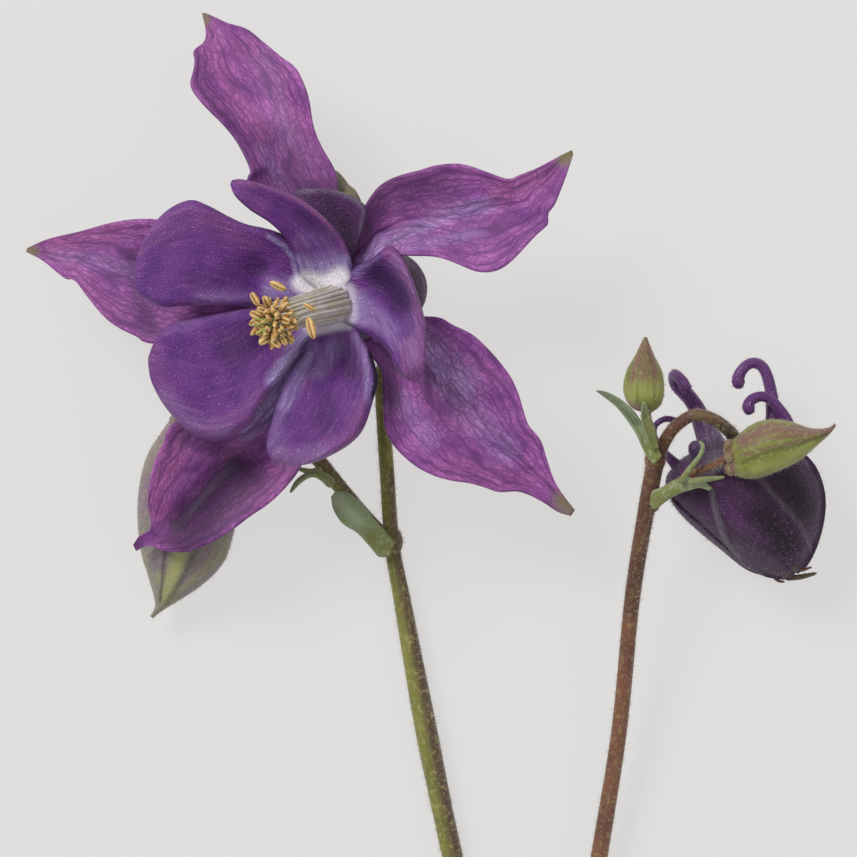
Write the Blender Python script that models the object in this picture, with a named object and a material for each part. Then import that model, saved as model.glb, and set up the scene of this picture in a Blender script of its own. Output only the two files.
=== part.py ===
# Columbine: one cut flowering stalk with its two branches, lying down.
# The left branch carries the open bloom and a large closed bud, the right one the nodding
# bloom and two small buds. The camera of the photograph looks straight down, so the
# photograph's right is +X here, its top is +Y, and +Z rises from the surface.

import math
import random

import bmesh
import bpy
from mathutils import Vector

for old in list(bpy.data.objects):
    bpy.data.objects.remove(old)

MM = 0.001
PHOTO_SIDE = 857
PIXEL_MM = 0.11            # real size of one photo pixel at the surface
EYE_MM = 920.0             # height of the eye above the surface
ORIGIN_PIXEL = (429.08, 659.3)  # the photo pixel below the middle of the whole stalk

BLADE_THICKNESS = 0.6      # petals, sepals and bracts, mm
STEEPEST_BLADE = 0.6       # least upward share of a blade's normal when it is thickened
CREASE_DEGREES = 50        # sharper edges than this are not shaded smooth
SEAT_GAP = 0.3             # clearance between a piece and what carries it, mm
STALK_RADIUS = 1.35        # lower run, mm
STALK_SIDES = 8

BLOOM_SEAT_HEIGHT = 14.4   # where the open bloom's petals are seated, above the surface
BLOOM_SEAT_PIXEL = (350, 295)
BLOOM_AXIS = Vector((-0.40, -0.10, 0.91)).normalized()
CLAW_REACH = 2.3           # from the bloom's axis to the foot of a sepal, mm
CLAW_HALF_WIDTH = 1.0

STAMEN_COUNT = 24
SLEEVE_RADIUS = 1.75       # the ring of filaments round the pistils
SLEEVE_BORE = 1.0
PISTIL_RADIUS = 0.68
ANTHER_LENGTH = 1.5
ANTHER_RADIUS = 0.36
FILAMENT_RADIUS = 0.22


def spot(px, py, height):
    """Return where a photo pixel lies, for a point this many mm above the surface."""
    nearer = 1 - height / EYE_MM
    middle = PHOTO_SIDE / 2
    origin_x, origin_y = ORIGIN_PIXEL
    x = (px - middle) * PIXEL_MM * nearer - (origin_x - middle) * PIXEL_MM
    y = (middle - py) * PIXEL_MM * nearer + (origin_y - middle) * PIXEL_MM
    return Vector((x, y, height)) * MM


def spline(values, share):
    """Read a smooth curve through evenly spaced values at a share of its length."""
    last = len(values) - 1
    place = min(max(share, 0.0), 1.0) * last
    index = min(int(place), last - 1)
    t = place - index
    before = values[max(index - 1, 0)]
    start = values[index]
    end = values[index + 1]
    after = values[min(index + 2, last)]
    bend_in = (end - before) * 0.5
    bend_out = (after - start) * 0.5
    rest = end - start
    return start + bend_in * t + (rest * 3 - bend_in * 2 - bend_out) * t * t \
        + (bend_in + bend_out - rest * 2) * t * t * t


def even_points(points, count):
    """Return count + 1 points at even steps along a smooth curve through the points."""
    fine_steps = 12 * (len(points) - 1)
    fine = [spline(points, i / fine_steps) for i in range(fine_steps + 1)]
    lengths = [0.0]
    for a, b in zip(fine, fine[1:]):
        lengths.append(lengths[-1] + (b - a).length)
    result = []
    index = 0
    for step in range(count + 1):
        target = lengths[-1] * step / count
        while index < fine_steps - 1 and lengths[index + 1] < target:
            index += 1
        span = max(lengths[index + 1] - lengths[index], 1e-12)
        result.append(fine[index].lerp(fine[index + 1], (target - lengths[index]) / span))
    return result


def flat(points):
    return [Vector((px, py)) for px, py in points]


def new_object(name, vertices, faces):
    mesh = bpy.data.meshes.new(name)
    mesh.from_pydata([tuple(v) for v in vertices], [], faces)
    mesh.update()
    node = bpy.data.objects.new(name, mesh)
    bpy.context.scene.collection.objects.link(node)
    return node


def finish(node, surface):
    """Give a node its material and smooth shading with crisp edges."""
    node.data.materials.clear()
    node.data.materials.append(MATERIALS[surface])
    node.data.shade_smooth()
    node.data.set_sharp_from_angle(angle=math.radians(CREASE_DEGREES))
    return node


def join(name, pieces, surface):
    """Fuse loose closed solids into one node with a single Boolean union."""
    if len(pieces) == 1:
        pieces[0].name = name
        return finish(pieces[0], surface)
    first = pieces[0]
    group = bpy.data.collections.new(name + "_pieces")
    bpy.context.scene.collection.children.link(group)
    for piece in pieces[1:]:
        bpy.context.scene.collection.objects.unlink(piece)
        group.objects.link(piece)
    union = first.modifiers.new("union", "BOOLEAN")
    union.operation = "UNION"
    union.operand_type = "COLLECTION"
    union.collection = group
    union.solver = "EXACT"
    depsgraph = bpy.context.evaluated_depsgraph_get()
    fused = bpy.data.meshes.new_from_object(first.evaluated_get(depsgraph))
    first.modifiers.clear()
    for piece in list(group.objects):
        bpy.data.objects.remove(piece)
    bpy.data.collections.remove(group)
    first.data = fused
    first.name = name
    return finish(first, surface)


def frames_along(path, up):
    """Return an across and an over direction at each point of a path, without twist."""
    pairs = []
    across = None
    for index, point in enumerate(path):
        ahead = path[min(index + 1, len(path) - 1)]
        behind = path[max(index - 1, 0)]
        along = (ahead - behind).normalized()
        if across is None:
            across = along.cross(up).normalized()
        across = (across - along * across.dot(along)).normalized()
        pairs.append((across, along.cross(across)))
    return pairs


def ring_faces(rings, sides, capped=True):
    faces = []
    for row in range(rings - 1):
        for side in range(sides):
            a = row * sides + side
            b = row * sides + (side + 1) % sides
            faces.append((a, b, b + sides, a + sides))
    if capped:
        faces.append(tuple(reversed(range(sides))))
        faces.append(tuple(range((rings - 1) * sides, rings * sides)))
    return faces


def tube(name, points, radii, sides, steps, up=Vector((0, 0, 1))):
    """Sweep a round section along a smooth path; radii are mm, spread evenly along it."""
    path = even_points(points, steps)
    vertices = []
    for index, (across, over) in enumerate(frames_along(path, up)):
        radius = spline(radii, index / steps) * MM
        for side in range(sides):
            turn = 2 * math.pi * (side + 0.5) / sides - math.pi / 2
            offset = across * math.cos(turn) + over * math.sin(turn)
            vertices.append(path[index] + offset * radius)
    return new_object(name, vertices, ring_faces(steps + 1, sides))


def sleeve(name, points, outer, inner, sides, steps):
    """Sweep a ring section along a path, so that another piece can stand inside it."""
    path = even_points(points, steps)
    frames = frames_along(path, Vector((0, 1, 0)))
    vertices = []
    for radii in (outer, inner):
        for index, (across, over) in enumerate(frames):
            radius = spline(radii, index / steps) * MM
            for side in range(sides):
                turn = 2 * math.pi * side / sides
                offset = across * math.cos(turn) + over * math.sin(turn)
                vertices.append(path[index] + offset * radius)
    shell = (steps + 1) * sides
    faces = ring_faces(steps + 1, sides, capped=False)
    faces += [tuple(reversed([i + shell for i in face])) for face in faces]
    top = steps * sides
    for side in range(sides):
        follow = (side + 1) % sides
        faces.append((follow, side, side + shell, follow + shell))
        faces.append((top + side, top + follow, top + follow + shell, top + side + shell))
    return new_object(name, vertices, faces)


def pod_surface(one_side, other_side, heights, depths, v, turn):
    """Point on a closed bud: its two photo outlines, its middle height and half depth."""
    one = spline(one_side, v)
    other = spline(other_side, v)
    middle = (one + other) / 2
    half = (one - other) / 2
    height = spline(heights, v)
    place = middle + half * math.cos(turn)
    return spot(place.x, place.y, height + spline(depths, v) * math.sin(turn))


def pod(name, one_side, other_side, heights, depths, sides, steps, ribs=(0, 0.0)):
    """A closed bud between its two photo outlines, with low lengthwise ribs."""
    one = even_points(flat(one_side), steps)
    other = even_points(flat(other_side), steps)
    count, lift = ribs
    vertices = []
    for step in range(steps + 1):
        v = step / steps
        centre = pod_surface(one, other, heights, (0.0, 0.0), v, math.pi / 2)
        for side in range(sides):
            turn = 2 * math.pi * side / sides
            point = pod_surface(one, other, heights, depths, v, turn)
            swell = 1 + lift * math.cos(count * turn) * math.sin(math.pi * v)
            vertices.append(centre + (point - centre) * swell)
    return new_object(name, vertices, ring_faces(steps + 1, sides))


def blade(name, one_side, other_side, heights, lifts, fold=2.0, across=6, along=12):
    """A leaf-like sheet between two photo outlines that meet at its tip.

    heights run along its rib; lifts raise each edge above the rib; fold is 2 for a
    rounded trough and nearer 1 for a creased one.
    """
    one = even_points(flat(one_side), along)
    other = even_points(flat(other_side), along)
    half = across // 2
    vertices = []
    for row in range(along + 1):
        v = row / along
        middle = (one[row] + other[row]) / 2
        rib = spline(heights, v)
        for column in range(across + 1):
            u = (column - half) / half
            edge = one[row] if u < 0 else other[row]
            lift = spline(lifts[0] if u < 0 else lifts[1], v)
            place = middle.lerp(edge, abs(u))
            vertices.append(spot(place.x, place.y, rib + lift * abs(u) ** fold))
    return shell(name, vertices, below(vertices, across, along), across, along)


def sheet_faces(across, along):
    """Triangles of a grid of across x along cells, its diagonals turned in turn."""
    faces = []
    for row in range(along):
        for column in range(across):
            a = row * (across + 1) + column
            b = a + across + 1
            if (row + column) % 2:
                faces += [(a, b, b + 1), (a, b + 1, a + 1)]
            else:
                faces += [(a, b, a + 1), (a + 1, b, b + 1)]
    return faces


def rim_loop(across, along):
    """Indices round the edge of a grid of across x along cells."""
    width = across + 1
    loop = list(range(width))
    loop += [row * width + across for row in range(1, along + 1)]
    loop += [along * width + column for column in range(across - 1, -1, -1)]
    loop += [row * width for row in range(along - 1, 0, -1)]
    return loop


def shell(name, face_points, back_points, across, along):
    """Close two grids of points, both split into triangles alike, into one thin solid."""
    count = len(face_points)
    faces = sheet_faces(across, along)
    faces += [tuple(reversed([i + count for i in face])) for face in faces]
    loop = rim_loop(across, along)
    for index, a in enumerate(loop):
        b = loop[(index + 1) % len(loop)]
        faces.append((a, b, b + count, a + count))
    node = new_object(name, face_points + back_points, faces)
    solid = bmesh.new()
    solid.from_mesh(node.data)
    if solid.calc_volume(signed=True) < 0:
        bmesh.ops.reverse_faces(solid, faces=solid.faces)
    solid.to_mesh(node.data)
    solid.free()
    return node


def below(points, across, along):
    """The same grid of points, one blade thickness down, measured square to the sheet."""
    width = across + 1
    lowered = []
    for index, point in enumerate(points):
        row, column = divmod(index, width)
        ahead = points[min(row + 1, along) * width + column]
        behind = points[max(row - 1, 0) * width + column]
        right = points[row * width + min(column + 1, across)]
        left = points[row * width + max(column - 1, 0)]
        normal = (ahead - behind).cross(right - left)
        slope = abs(normal.z) / max(normal.length, 1e-12)
        drop = BLADE_THICKNESS / max(slope, STEEPEST_BLADE)
        lowered.append(point - Vector((0, 0, drop * MM)))
    return lowered


def material(name, colour, roughness):
    made = bpy.data.materials.new(name)
    made.use_nodes = True
    shader = made.node_tree.nodes["Principled BSDF"]
    shader.inputs["Base Color"].default_value = (*colour, 1.0)
    shader.inputs["Roughness"].default_value = roughness
    shader.inputs["Metallic"].default_value = 0.0
    return made


MATERIALS = {
    "sepal": material("sepal", (0.27, 0.09, 0.34), 0.55),
    "petal": material("petal", (0.13, 0.04, 0.24), 0.55),
    "stamen": material("stamen", (0.56, 0.37, 0.10), 0.6),
    "pistil": material("pistil", (0.45, 0.50, 0.22), 0.5),
    "stem": material("stem", (0.20, 0.16, 0.06), 0.6),
    "leaf": material("leaf", (0.19, 0.26, 0.14), 0.6),
    "bud": material("bud", (0.34, 0.34, 0.20), 0.6),
    "dark_bloom": material("dark_bloom", (0.06, 0.02, 0.09), 0.65),
}


def radial(degrees):
    """Direction square to the open bloom's axis, at this angle in the photograph."""
    angle = math.radians(degrees)
    level = Vector((math.cos(angle), math.sin(angle), 0))
    return (level - BLOOM_AXIS * level.dot(BLOOM_AXIS)).normalized()


def bloom_point(degrees, reach, rise):
    """Point this many mm out from the open bloom's axis and forward of its seat."""
    seat = spot(*BLOOM_SEAT_PIXEL, BLOOM_SEAT_HEIGHT)
    return seat + (radial(degrees) * reach + BLOOM_AXIS * rise) * MM


def foot_pixels(centre, degrees, reach, half_width):
    """Photo pixels of the two corners of a sepal's or petal's narrow foot."""
    angle = math.radians(degrees)
    out = Vector((math.cos(angle), -math.sin(angle)))
    side = Vector((-math.sin(angle), -math.cos(angle)))
    middle = Vector(centre) + out * (reach / PIXEL_MM)
    one = middle + side * (half_width / PIXEL_MM)
    other = middle - side * (half_width / PIXEL_MM)
    return tuple(one), tuple(other)


# Each blade: the angle of its foot round the bloom, its left and right photo outlines seen
# from the foot, the heights of its rib and the lift of its left and right edges, in mm.
SEPALS = {
    "sepal_top": (
        122,
        [(253, 181), (239, 142), (212, 111), (192, 84), (195, 60), (205, 38), (201, 14)],
        [(322, 215), (334, 170), (316, 138), (303, 84), (276, 53), (235, 25), (205, 14)],
        (14.4, 15.0, 14.7, 13.9, 13.0, 12.4),
        ((0, 0.8, 1.4, 1.2, 0.6, 0), (0, 0.2, 0.6, 1.0, 0.6, 0)),
        2.0,
    ),
    "sepal_left": (
        181,
        [(252, 318), (185, 345), (136, 336), (103, 315), (76, 282), (43, 260), (27, 252)],
        [(250, 246), (198, 222), (156, 220), (106, 224), (66, 235), (27, 248)],
        (14.2, 13.7, 12.8, 11.9, 10.9, 10.0),
        ((0, 0.5, 1.0, 0.8, 0.3, 0), (0, 0.5, 0.9, 0.9, 0.4, 0)),
        2.0,
    ),
    "sepal_upper_right": (
        62,
        [(361, 240), (367, 205), (386, 183), (419, 170), (464, 165), (507, 179), (549, 162),
         (571, 151)],
        [(378, 250), (403, 254), (448, 260), (485, 271), (516, 256), (547, 220), (561, 190),
         (572, 158)],
        (14.6, 15.4, 16.2, 16.8, 17.3, 17.8),
        ((0, 0.6, 1.2, 1.2, 0.6, 0), (0, 0.4, 0.8, 0.8, 0.4, 0)),
        2.0,
    ),
    "sepal_lower_right": (
        -45,
        [(404, 318), (440, 318), (478, 340), (509, 373), (526, 416), (550, 468), (574, 508)],
        [(362, 340), (376, 378), (385, 430), (415, 469), (484, 488), (531, 496), (570, 516)],
        (14.6, 15.2, 15.5, 15.2, 14.4, 13.4),
        ((0, 0.6, 1.0, 1.0, 0.5, 0), (0, 0.6, 1.0, 1.0, 0.5, 0)),
        2.0,
    ),
    "sepal_lower_left": (
        237,
        [(320, 385), (308, 455), (284, 488), (249, 516), (214, 536), (173, 552), (141, 550)],
        [(285, 360), (220, 396), (174, 424), (155, 462), (149, 520), (137, 543)],
        (14.3, 13.4, 12.5, 11.9, 11.4, 9.4),
        ((0, 0.8, 1.6, 1.8, 1.2, 0), (0, 0.8, 1.6, 1.8, 1.2, 0)),
        1.3,
    ),
}


def make_sepals():
    for name, (degrees, left, right, heights, lifts, fold) in SEPALS.items():
        one, other = foot_pixels(BLOOM_SEAT_PIXEL, degrees, CLAW_REACH, CLAW_HALF_WIDTH)
        neck_one, neck_other = foot_pixels(BLOOM_SEAT_PIXEL, degrees, 3 * CLAW_REACH,
                                           1.2 * CLAW_HALF_WIDTH)
        sheet = blade(name, [one, neck_one] + left, [other, neck_other] + right,
                      heights, lifts, fold, along=14)
        finish(sheet, "sepal")


THROAT_PIXEL = (336, 300)
THROAT_REACH = 2.6
PETAL_FOOT_HALF_WIDTH = 1.1
MOUTH_DEPTH = 0.45         # of the spur's root below the petal's face, mm
SPUR_ROUTE = ((6.3, 0.6), (7.6, -2.2), (8.8, -5.5), (8.9, -8.8), (7.7, -11.2),
              (6.0, -11.6), (5.2, -10.4))
SPUR_RADII = (1.2, 1.4, 1.25, 1.1, 0.9, 0.75, 0.65, 0.75)
SPUR_SIDES = 8
SURFACE_CLEARANCE = 0.1    # above the surface at the stations, so none sinks between them
SPUR_STEPS = 12

# Each petal: foot angle, outlines, heights, lifts and fold as above, then its spur's
# angle, the turn of that angle towards the tip, and its reach and depth against the
# usual spur.
PETALS = {
    "petal_upper_left": (
        150,
        [(292, 302), (250, 306), (200, 306), (160, 307), (139, 292), (134, 276)],
        [(295, 268), (281, 238), (262, 227), (228, 216), (190, 201), (157, 220), (135, 265)],
        (18.0, 17.9, 19.0, 20.4, 21.3, 21.6),
        ((0, 0.9, 1.0, 0.5, 0, 0), (0, 1.4, 1.6, 0.8, 0, 0)),
        1.7,
        (152, 4, 1.0, 1.15),
    ),
    "petal_lower_left": (
        208,
        [(304, 344), (284, 374), (250, 424), (214, 441), (176, 421), (152, 385), (148, 364)],
        [(284, 306), (240, 309), (190, 319), (159, 333), (148, 358)],
        (17.8, 18.5, 19.6, 20.4, 20.9, 21.0),
        ((0, 0.9, 1.0, 0.5, 0, 0), (0, 0.8, 0.9, 0.5, 0, 0)),
        1.8,
        (208, 4, 1.0, 1.15),
    ),
    "petal_bottom": (
        272,
        [(362, 346), (371, 375), (372, 405), (352, 442), (318, 461), (285, 465)],
        [(310, 348), (288, 380), (272, 420), (266, 446), (278, 463)],
        (17.8, 18.9, 20.2, 21.3, 22.0, 22.2),
        ((0, 0.8, 0.9, 0.5, 0, 0), (0, 0.8, 0.9, 0.5, 0, 0)),
        1.8,
        (276, -40, 0.85, 0.8),
    ),
    "petal_right": (
        2,
        [(363, 270), (376, 256), (390, 247), (411, 275), (425, 318), (426, 355), (420, 379)],
        [(367, 335), (389, 353), (404, 377), (414, 382)],
        (18.4, 19.2, 21.0, 22.8, 24.2, 24.8),
        ((0, 1.8, 2.4, 2.2, 1.0, 0), (0, 0.8, 1.2, 1.2, 0.6, 0)),
        1.6,
        (4, 2, 0.68, 0.95),
    ),
    "petal_top": (
        86,
        [(308, 272), (294, 253), (272, 225), (250, 210), (235, 196), (230, 184)],
        [(351, 262), (341, 236), (304, 201), (259, 183), (234, 179)],
        (18.4, 19.6, 21.4, 23.2, 24.8, 26.0),
        ((0, 1.0, 1.4, 1.0, 0.4, 0), (0, 1.0, 1.4, 1.0, 0.4, 0)),
        1.7,
        (84, 45, 1.4, 0.8),
    ),
}

# The back of the top petal's mouth, which stands up behind its rolled rim.
SHOULDER_LEFT = [(338, 276), (331, 240), (306, 214), (294, 196), (296, 190)]
SHOULDER_RIGHT = [(351, 272), (360, 240), (367, 215), (362, 202), (335, 190), (304, 189)]
SHOULDER_HEIGHTS = (17.2, 17.4, 17.9, 18.2)
SHOULDER_LIFTS = ((0, 0.3, 0.3, 0), (0, 0.3, 0.3, 0))


def on_ground(points, radii):
    """Lift a spur's route where it would sink into the surface it lies on."""
    steps = len(points) - 1
    lifted = []
    for index, point in enumerate(points):
        lowest = (spline(radii, index / steps) + SURFACE_CLEARANCE) * MM
        lifted.append(Vector((point.x, point.y, max(point.z, lowest))))
    return lifted


def spur_route(start, degrees, turn, reach, depth):
    """The route of one hollow spur, back from the mouth and hooked in at its tip."""
    points = [start]
    for index, (out, rise) in enumerate(SPUR_ROUTE):
        angle = degrees + turn * index / (len(SPUR_ROUTE) - 1)
        back = rise * depth if rise < 0 else rise
        points.append(bloom_point(angle, out * reach, back))
    return on_ground(points, SPUR_RADII)


def make_petals():
    for name, (degrees, left, right, heights, lifts, fold, spur) in PETALS.items():
        one, other = foot_pixels(THROAT_PIXEL, degrees, THROAT_REACH, PETAL_FOOT_HALF_WIDTH)
        sheet = blade(name, [one] + left, [other] + right, heights, lifts, fold, along=12)
        foot = (Vector(one) + Vector(other)) / 2
        mouth = foot.lerp((Vector(left[0]) + Vector(right[0])) / 2, 0.5)
        start = spot(mouth.x, mouth.y, spline(heights, 0.08) - MOUTH_DEPTH)
        tail = tube(name + "_spur", spur_route(start, *spur), SPUR_RADII, SPUR_SIDES,
                    SPUR_STEPS, up=radial(degrees + 90))
        pieces = [sheet, tail]
        if name == "petal_top":
            pieces.append(blade("shoulder", SHOULDER_LEFT, SHOULDER_RIGHT, SHOULDER_HEIGHTS,
                                SHOULDER_LIFTS, across=4, along=6))
        join(name, pieces, "petal")


COLUMN_TIP_PIXEL = (282, 318)
COLUMN_TIP_HEIGHT = 26.2
RECEPTACLE_RISE = 0.9


def column_route(first, last):
    """The middle line of the stamens and pistils, from the seat to the anthers."""
    lower = bloom_point(0, 0, RECEPTACLE_RISE + SEAT_GAP)
    second = bloom_point(0, 0, 3.0)
    route = [lower, second, spot(318, 306, 21.2), spot(*COLUMN_TIP_PIXEL, COLUMN_TIP_HEIGHT)]
    count = 20
    fine = even_points(route, count)
    return fine[int(first * count):int(last * count) + 1]


def anther_places():
    """Seeded places of the anthers on a ball round the end of the filaments."""
    random.seed(7)
    tip = spot(*COLUMN_TIP_PIXEL, COLUMN_TIP_HEIGHT)
    along = (tip - column_route(0, 1)[-4]).normalized()
    across = along.cross(Vector((0, 0, 1))).normalized()
    over = across.cross(along)
    places = []
    for index in range(STAMEN_COUNT):
        slope = math.radians(100) * math.sqrt((index + 0.5) / STAMEN_COUNT)
        turn = index * math.pi * (3 - math.sqrt(5))
        out = across * math.cos(turn) + over * math.sin(turn)
        direction = along * math.cos(slope) + out * math.sin(slope)
        places.append((out, direction, random.uniform(2.3, 3.3)))
    return tip, along, places


def make_stamens():
    route = column_route(0, 0.85)
    pieces = [sleeve("stamens", route, (SLEEVE_RADIUS, 1.7, 1.5), (SLEEVE_BORE, 0.98, 0.95),
                     10, 8)]
    tip, along, places = anther_places()
    root = route[-2]
    wall = (1.5 + 0.95) / 2 * MM
    for index, (out, direction, distance) in enumerate(places):
        start = root + out * wall
        knee = start + (along * 1.0 + out * 0.3) * MM
        foot = tip + direction * (distance - ANTHER_LENGTH / 2) * MM
        end = tip + direction * (distance + ANTHER_LENGTH / 2) * MM
        thread = [FILAMENT_RADIUS, FILAMENT_RADIUS, FILAMENT_RADIUS]
        pieces.append(tube(f"filament_{index}", [start, knee, foot.lerp(end, 0.3)], thread, 4,
                           2, up=out))
        girth = (0.2, ANTHER_RADIUS, ANTHER_RADIUS, 0.16)
        pieces.append(tube(f"anther_{index}", [foot, end], girth, 5, 3, up=out))
    join("stamens", pieces, "stamen")


def make_pistils():
    """Five slender carpels, grown together below and parting among the anthers."""
    pieces = [tube("pistils", column_route(0, 0.8), (PISTIL_RADIUS, 0.66, 0.6), 8, 6)]
    tip, along, _ = anther_places()
    across = along.cross(Vector((0, 0, 1))).normalized()
    over = across.cross(along)
    root = column_route(0, 0.7)[-1]
    for index in range(5):
        turn = 2 * math.pi * index / 5
        out = across * math.cos(turn) + over * math.sin(turn)
        middle = root.lerp(tip, 0.5) + out * 0.4 * MM
        end = tip + (along * 0.9 + out * 0.5) * MM
        pieces.append(tube(f"style_{index}", [root + out * 0.25 * MM, middle, end],
                           (0.2, 0.2, 0.14), 5, 4, up=out))
    join("pistils", pieces, "pistil")


# Routes of the stalk's runs, as photo pixels and heights of the middle line above the
# surface in mm.
FORK = (538, 1222, 1.25)
LEFT_STEM = [FORK, (531, 1180, 1.3), (506, 1080, 1.4), (478, 960, 1.5), (453, 857, 1.6),
             (426, 730, 1.8), (402, 600, 2.0), (392, 545, 2.2), (387, 474, 2.4),
             (384, 430, 2.5), (382, 380, 2.8), (387, 345, 3.6), (385, 318, 6.0)]
LEFT_STEM_RADII = (1.22, 1.2, 1.18, 1.18, 1.18, 1.16, 1.22, 1.06, 0.88, 0.82, 0.8, 0.8)
RIGHT_STEM = [FORK, (546, 1180, 1.4), (563, 1080, 1.7), (581, 965, 2.1), (599, 857, 2.8),
              (619, 731, 4.6), (632, 600, 7.6), (646, 511, 10.2), (656, 458, 11.8)]
RIGHT_STEM_RADII = (1.03, 1.02, 1.0, 0.98, 0.97, 0.92, 0.9, 0.9, 0.97)
LOWER_RUN_LENGTH = 8.5
ARCH = [(655, 462, 11.6), (662, 446, 12.4), (675, 427, 13.4), (695, 415, 14.0),
        (715, 420, 13.2), (729, 431, 11.0), (734, 438, 9.0), (735, 444, 7.8)]
ARCH_RADII = (0.85, 0.7, 0.66, 0.66, 0.68, 0.72, 0.8)
BUD_BRANCH = [(391, 547, 2.4), (368, 521, 3.4), (343, 491, 4.6), (320, 462, 5.2),
              (284, 418, 5.8), (252, 386, 6.2), (224, 374, 6.2), (207, 384, 5.6),
              (204, 400, 5.2)]
BUD_BRANCH_RADII = (1.0, 0.85, 0.8, 0.78, 0.72, 0.7, 0.7, 0.7)
SMALL_BUD_PEDICEL = [(656, 458, 11.8), (653, 441, 12.6), (649, 425, 13.2), (647, 414, 13.6)]
GREEN_BUD_PEDICEL = [(652, 501, 10.2), (670, 488, 11.4), (690, 476, 14.2), (722, 461, 17.2)]


def route(stations):
    return [spot(*station) for station in stations]


def make_stalk():
    """The grown axis: a lower run, two stems, their branches and the bloom's seat."""
    flat_height = STALK_RADIUS * math.cos(math.pi / STALK_SIDES)
    fork_x, fork_y, _ = FORK
    cut_y = fork_y + LOWER_RUN_LENGTH / PIXEL_MM
    lower = [(fork_x + 5, cut_y, flat_height), (fork_x + 2, (fork_y + cut_y) / 2, flat_height),
             (fork_x, fork_y - 4, flat_height)]
    seat = [spot(386, 322, 5.4), spot(374, 304, 9.6), bloom_point(0, 0, -2.2),
            bloom_point(0, 0, RECEPTACLE_RISE)]
    pieces = [
        tube("stalk", route(lower), (STALK_RADIUS, STALK_RADIUS), STALK_SIDES, 3),
        tube("left_stem", route(LEFT_STEM), LEFT_STEM_RADII, STALK_SIDES, 30),
        tube("right_stem", route(RIGHT_STEM), RIGHT_STEM_RADII, STALK_SIDES, 20),
        tube("arch", route(ARCH), ARCH_RADII, STALK_SIDES, 14),
        tube("bud_branch", route(BUD_BRANCH), BUD_BRANCH_RADII, STALK_SIDES, 18),
        tube("small_pedicel", route(SMALL_BUD_PEDICEL), (0.6, 0.42, 0.4), 6, 5),
        tube("green_pedicel", route(GREEN_BUD_PEDICEL), (0.6, 0.45, 0.42), 6, 6),
        tube("seat", seat, (0.8, 0.85, 1.1, 1.7, 1.8), STALK_SIDES, 6),
    ]
    join("stalk", pieces, "stem")


# Closed buds: their two photo outlines from stem end to tip, middle heights, half depths.
LEFT_BUD = (
    [(198, 408), (176, 418), (155, 446), (142, 486), (139, 530), (146, 574), (153, 600),
     (152, 616)],
    [(212, 408), (232, 424), (243, 460), (242, 510), (230, 548), (203, 585), (170, 609),
     (156, 616)],
    (5.2, 5.0, 4.9, 4.8, 4.4, 3.2),
    (1.4, 4.4, 4.8, 4.6, 2.6, 0.5),
)
GREEN_BUD = (
    [(725, 452), (733, 440), (752, 425), (776, 420), (802, 426), (827, 427), (834, 424)],
    [(726, 462), (735, 476), (757, 479), (783, 470), (806, 457), (829, 435), (835, 427)],
    (17.6, 17.8, 18.0, 18.2, 18.6),
    (0.6, 2.8, 3.1, 2.0, 0.3),
)
SMALL_BUD = (
    [(645, 413), (631, 407), (624, 391), (627, 371), (636, 354), (644, 338)],
    [(651, 413), (661, 405), (665, 391), (663, 372), (654, 354), (647, 338)],
    (14.0, 14.2, 14.3, 14.4),
    (0.5, 2.1, 2.2, 1.3, 0.25),
)
BUD_SPUR_COUNT = 5


def bud_spurs(name, shape, reach, girth, at):
    """Five short spurs that stand back from the shoulders of a closed bud."""
    one, other = (even_points(flat(side), 20) for side in shape[:2])
    _, _, heights, depths = shape
    made = []
    for index in range(BUD_SPUR_COUNT):
        turn = 2 * math.pi * (index + 0.25) / BUD_SPUR_COUNT
        crown = pod_surface(one, other, heights, depths, 0.0, turn)
        shoulder = pod_surface(one, other, heights, depths, at, turn)
        centre = pod_surface(one, other, heights, (0.0, 0.0), at, math.pi / 2)
        back = (crown - shoulder).normalized()
        out = (shoulder - centre).normalized()
        inner = shoulder.lerp(centre, 0.35)
        middle = shoulder + (back * reach * 0.5 + out * girth * 0.4) * MM
        end = shoulder + (back * reach + out * girth * 0.1) * MM
        radii = (girth, girth * 0.85, girth * 0.55)
        made.append(tube(f"{name}_spur_{index}", on_ground([inner, middle, end], radii),
                         radii, 6, 4, up=back.cross(out)))
    return made


def make_buds():
    left = pod("bud_left", *LEFT_BUD, 20, 12, ribs=(5, 0.035))
    join("bud_left", [left] + bud_spurs("bud_left", LEFT_BUD, 2.6, 0.75, 0.16),
         "bud")
    green = pod("bud_green", *GREEN_BUD, 15, 9, ribs=(5, 0.03))
    join("bud_green", [green] + bud_spurs("bud_green", GREEN_BUD, 0.9, 0.5, 0.12),
         "bud")
    small = pod("bud_small", *SMALL_BUD, 15, 8, ribs=(5, 0.03))
    join("bud_small", [small], "bud")


# The nodding bloom: a closed core of five petals with their spurs, wrapped by five sepals.
NODDING_CORE = (
    [(724, 452), (696, 455), (679, 478), (688, 503), (711, 528), (740, 554), (765, 571),
     (785, 577)],
    [(742, 452), (776, 446), (803, 460), (816, 490), (815, 520), (809, 546), (800, 565),
     (793, 577)],
    (7.5, 7.5, 7.5, 7.4, 7.1, 6.7),
    (1.6, 5.6, 6.4, 5.6, 3.6, 1.0),
)
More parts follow.
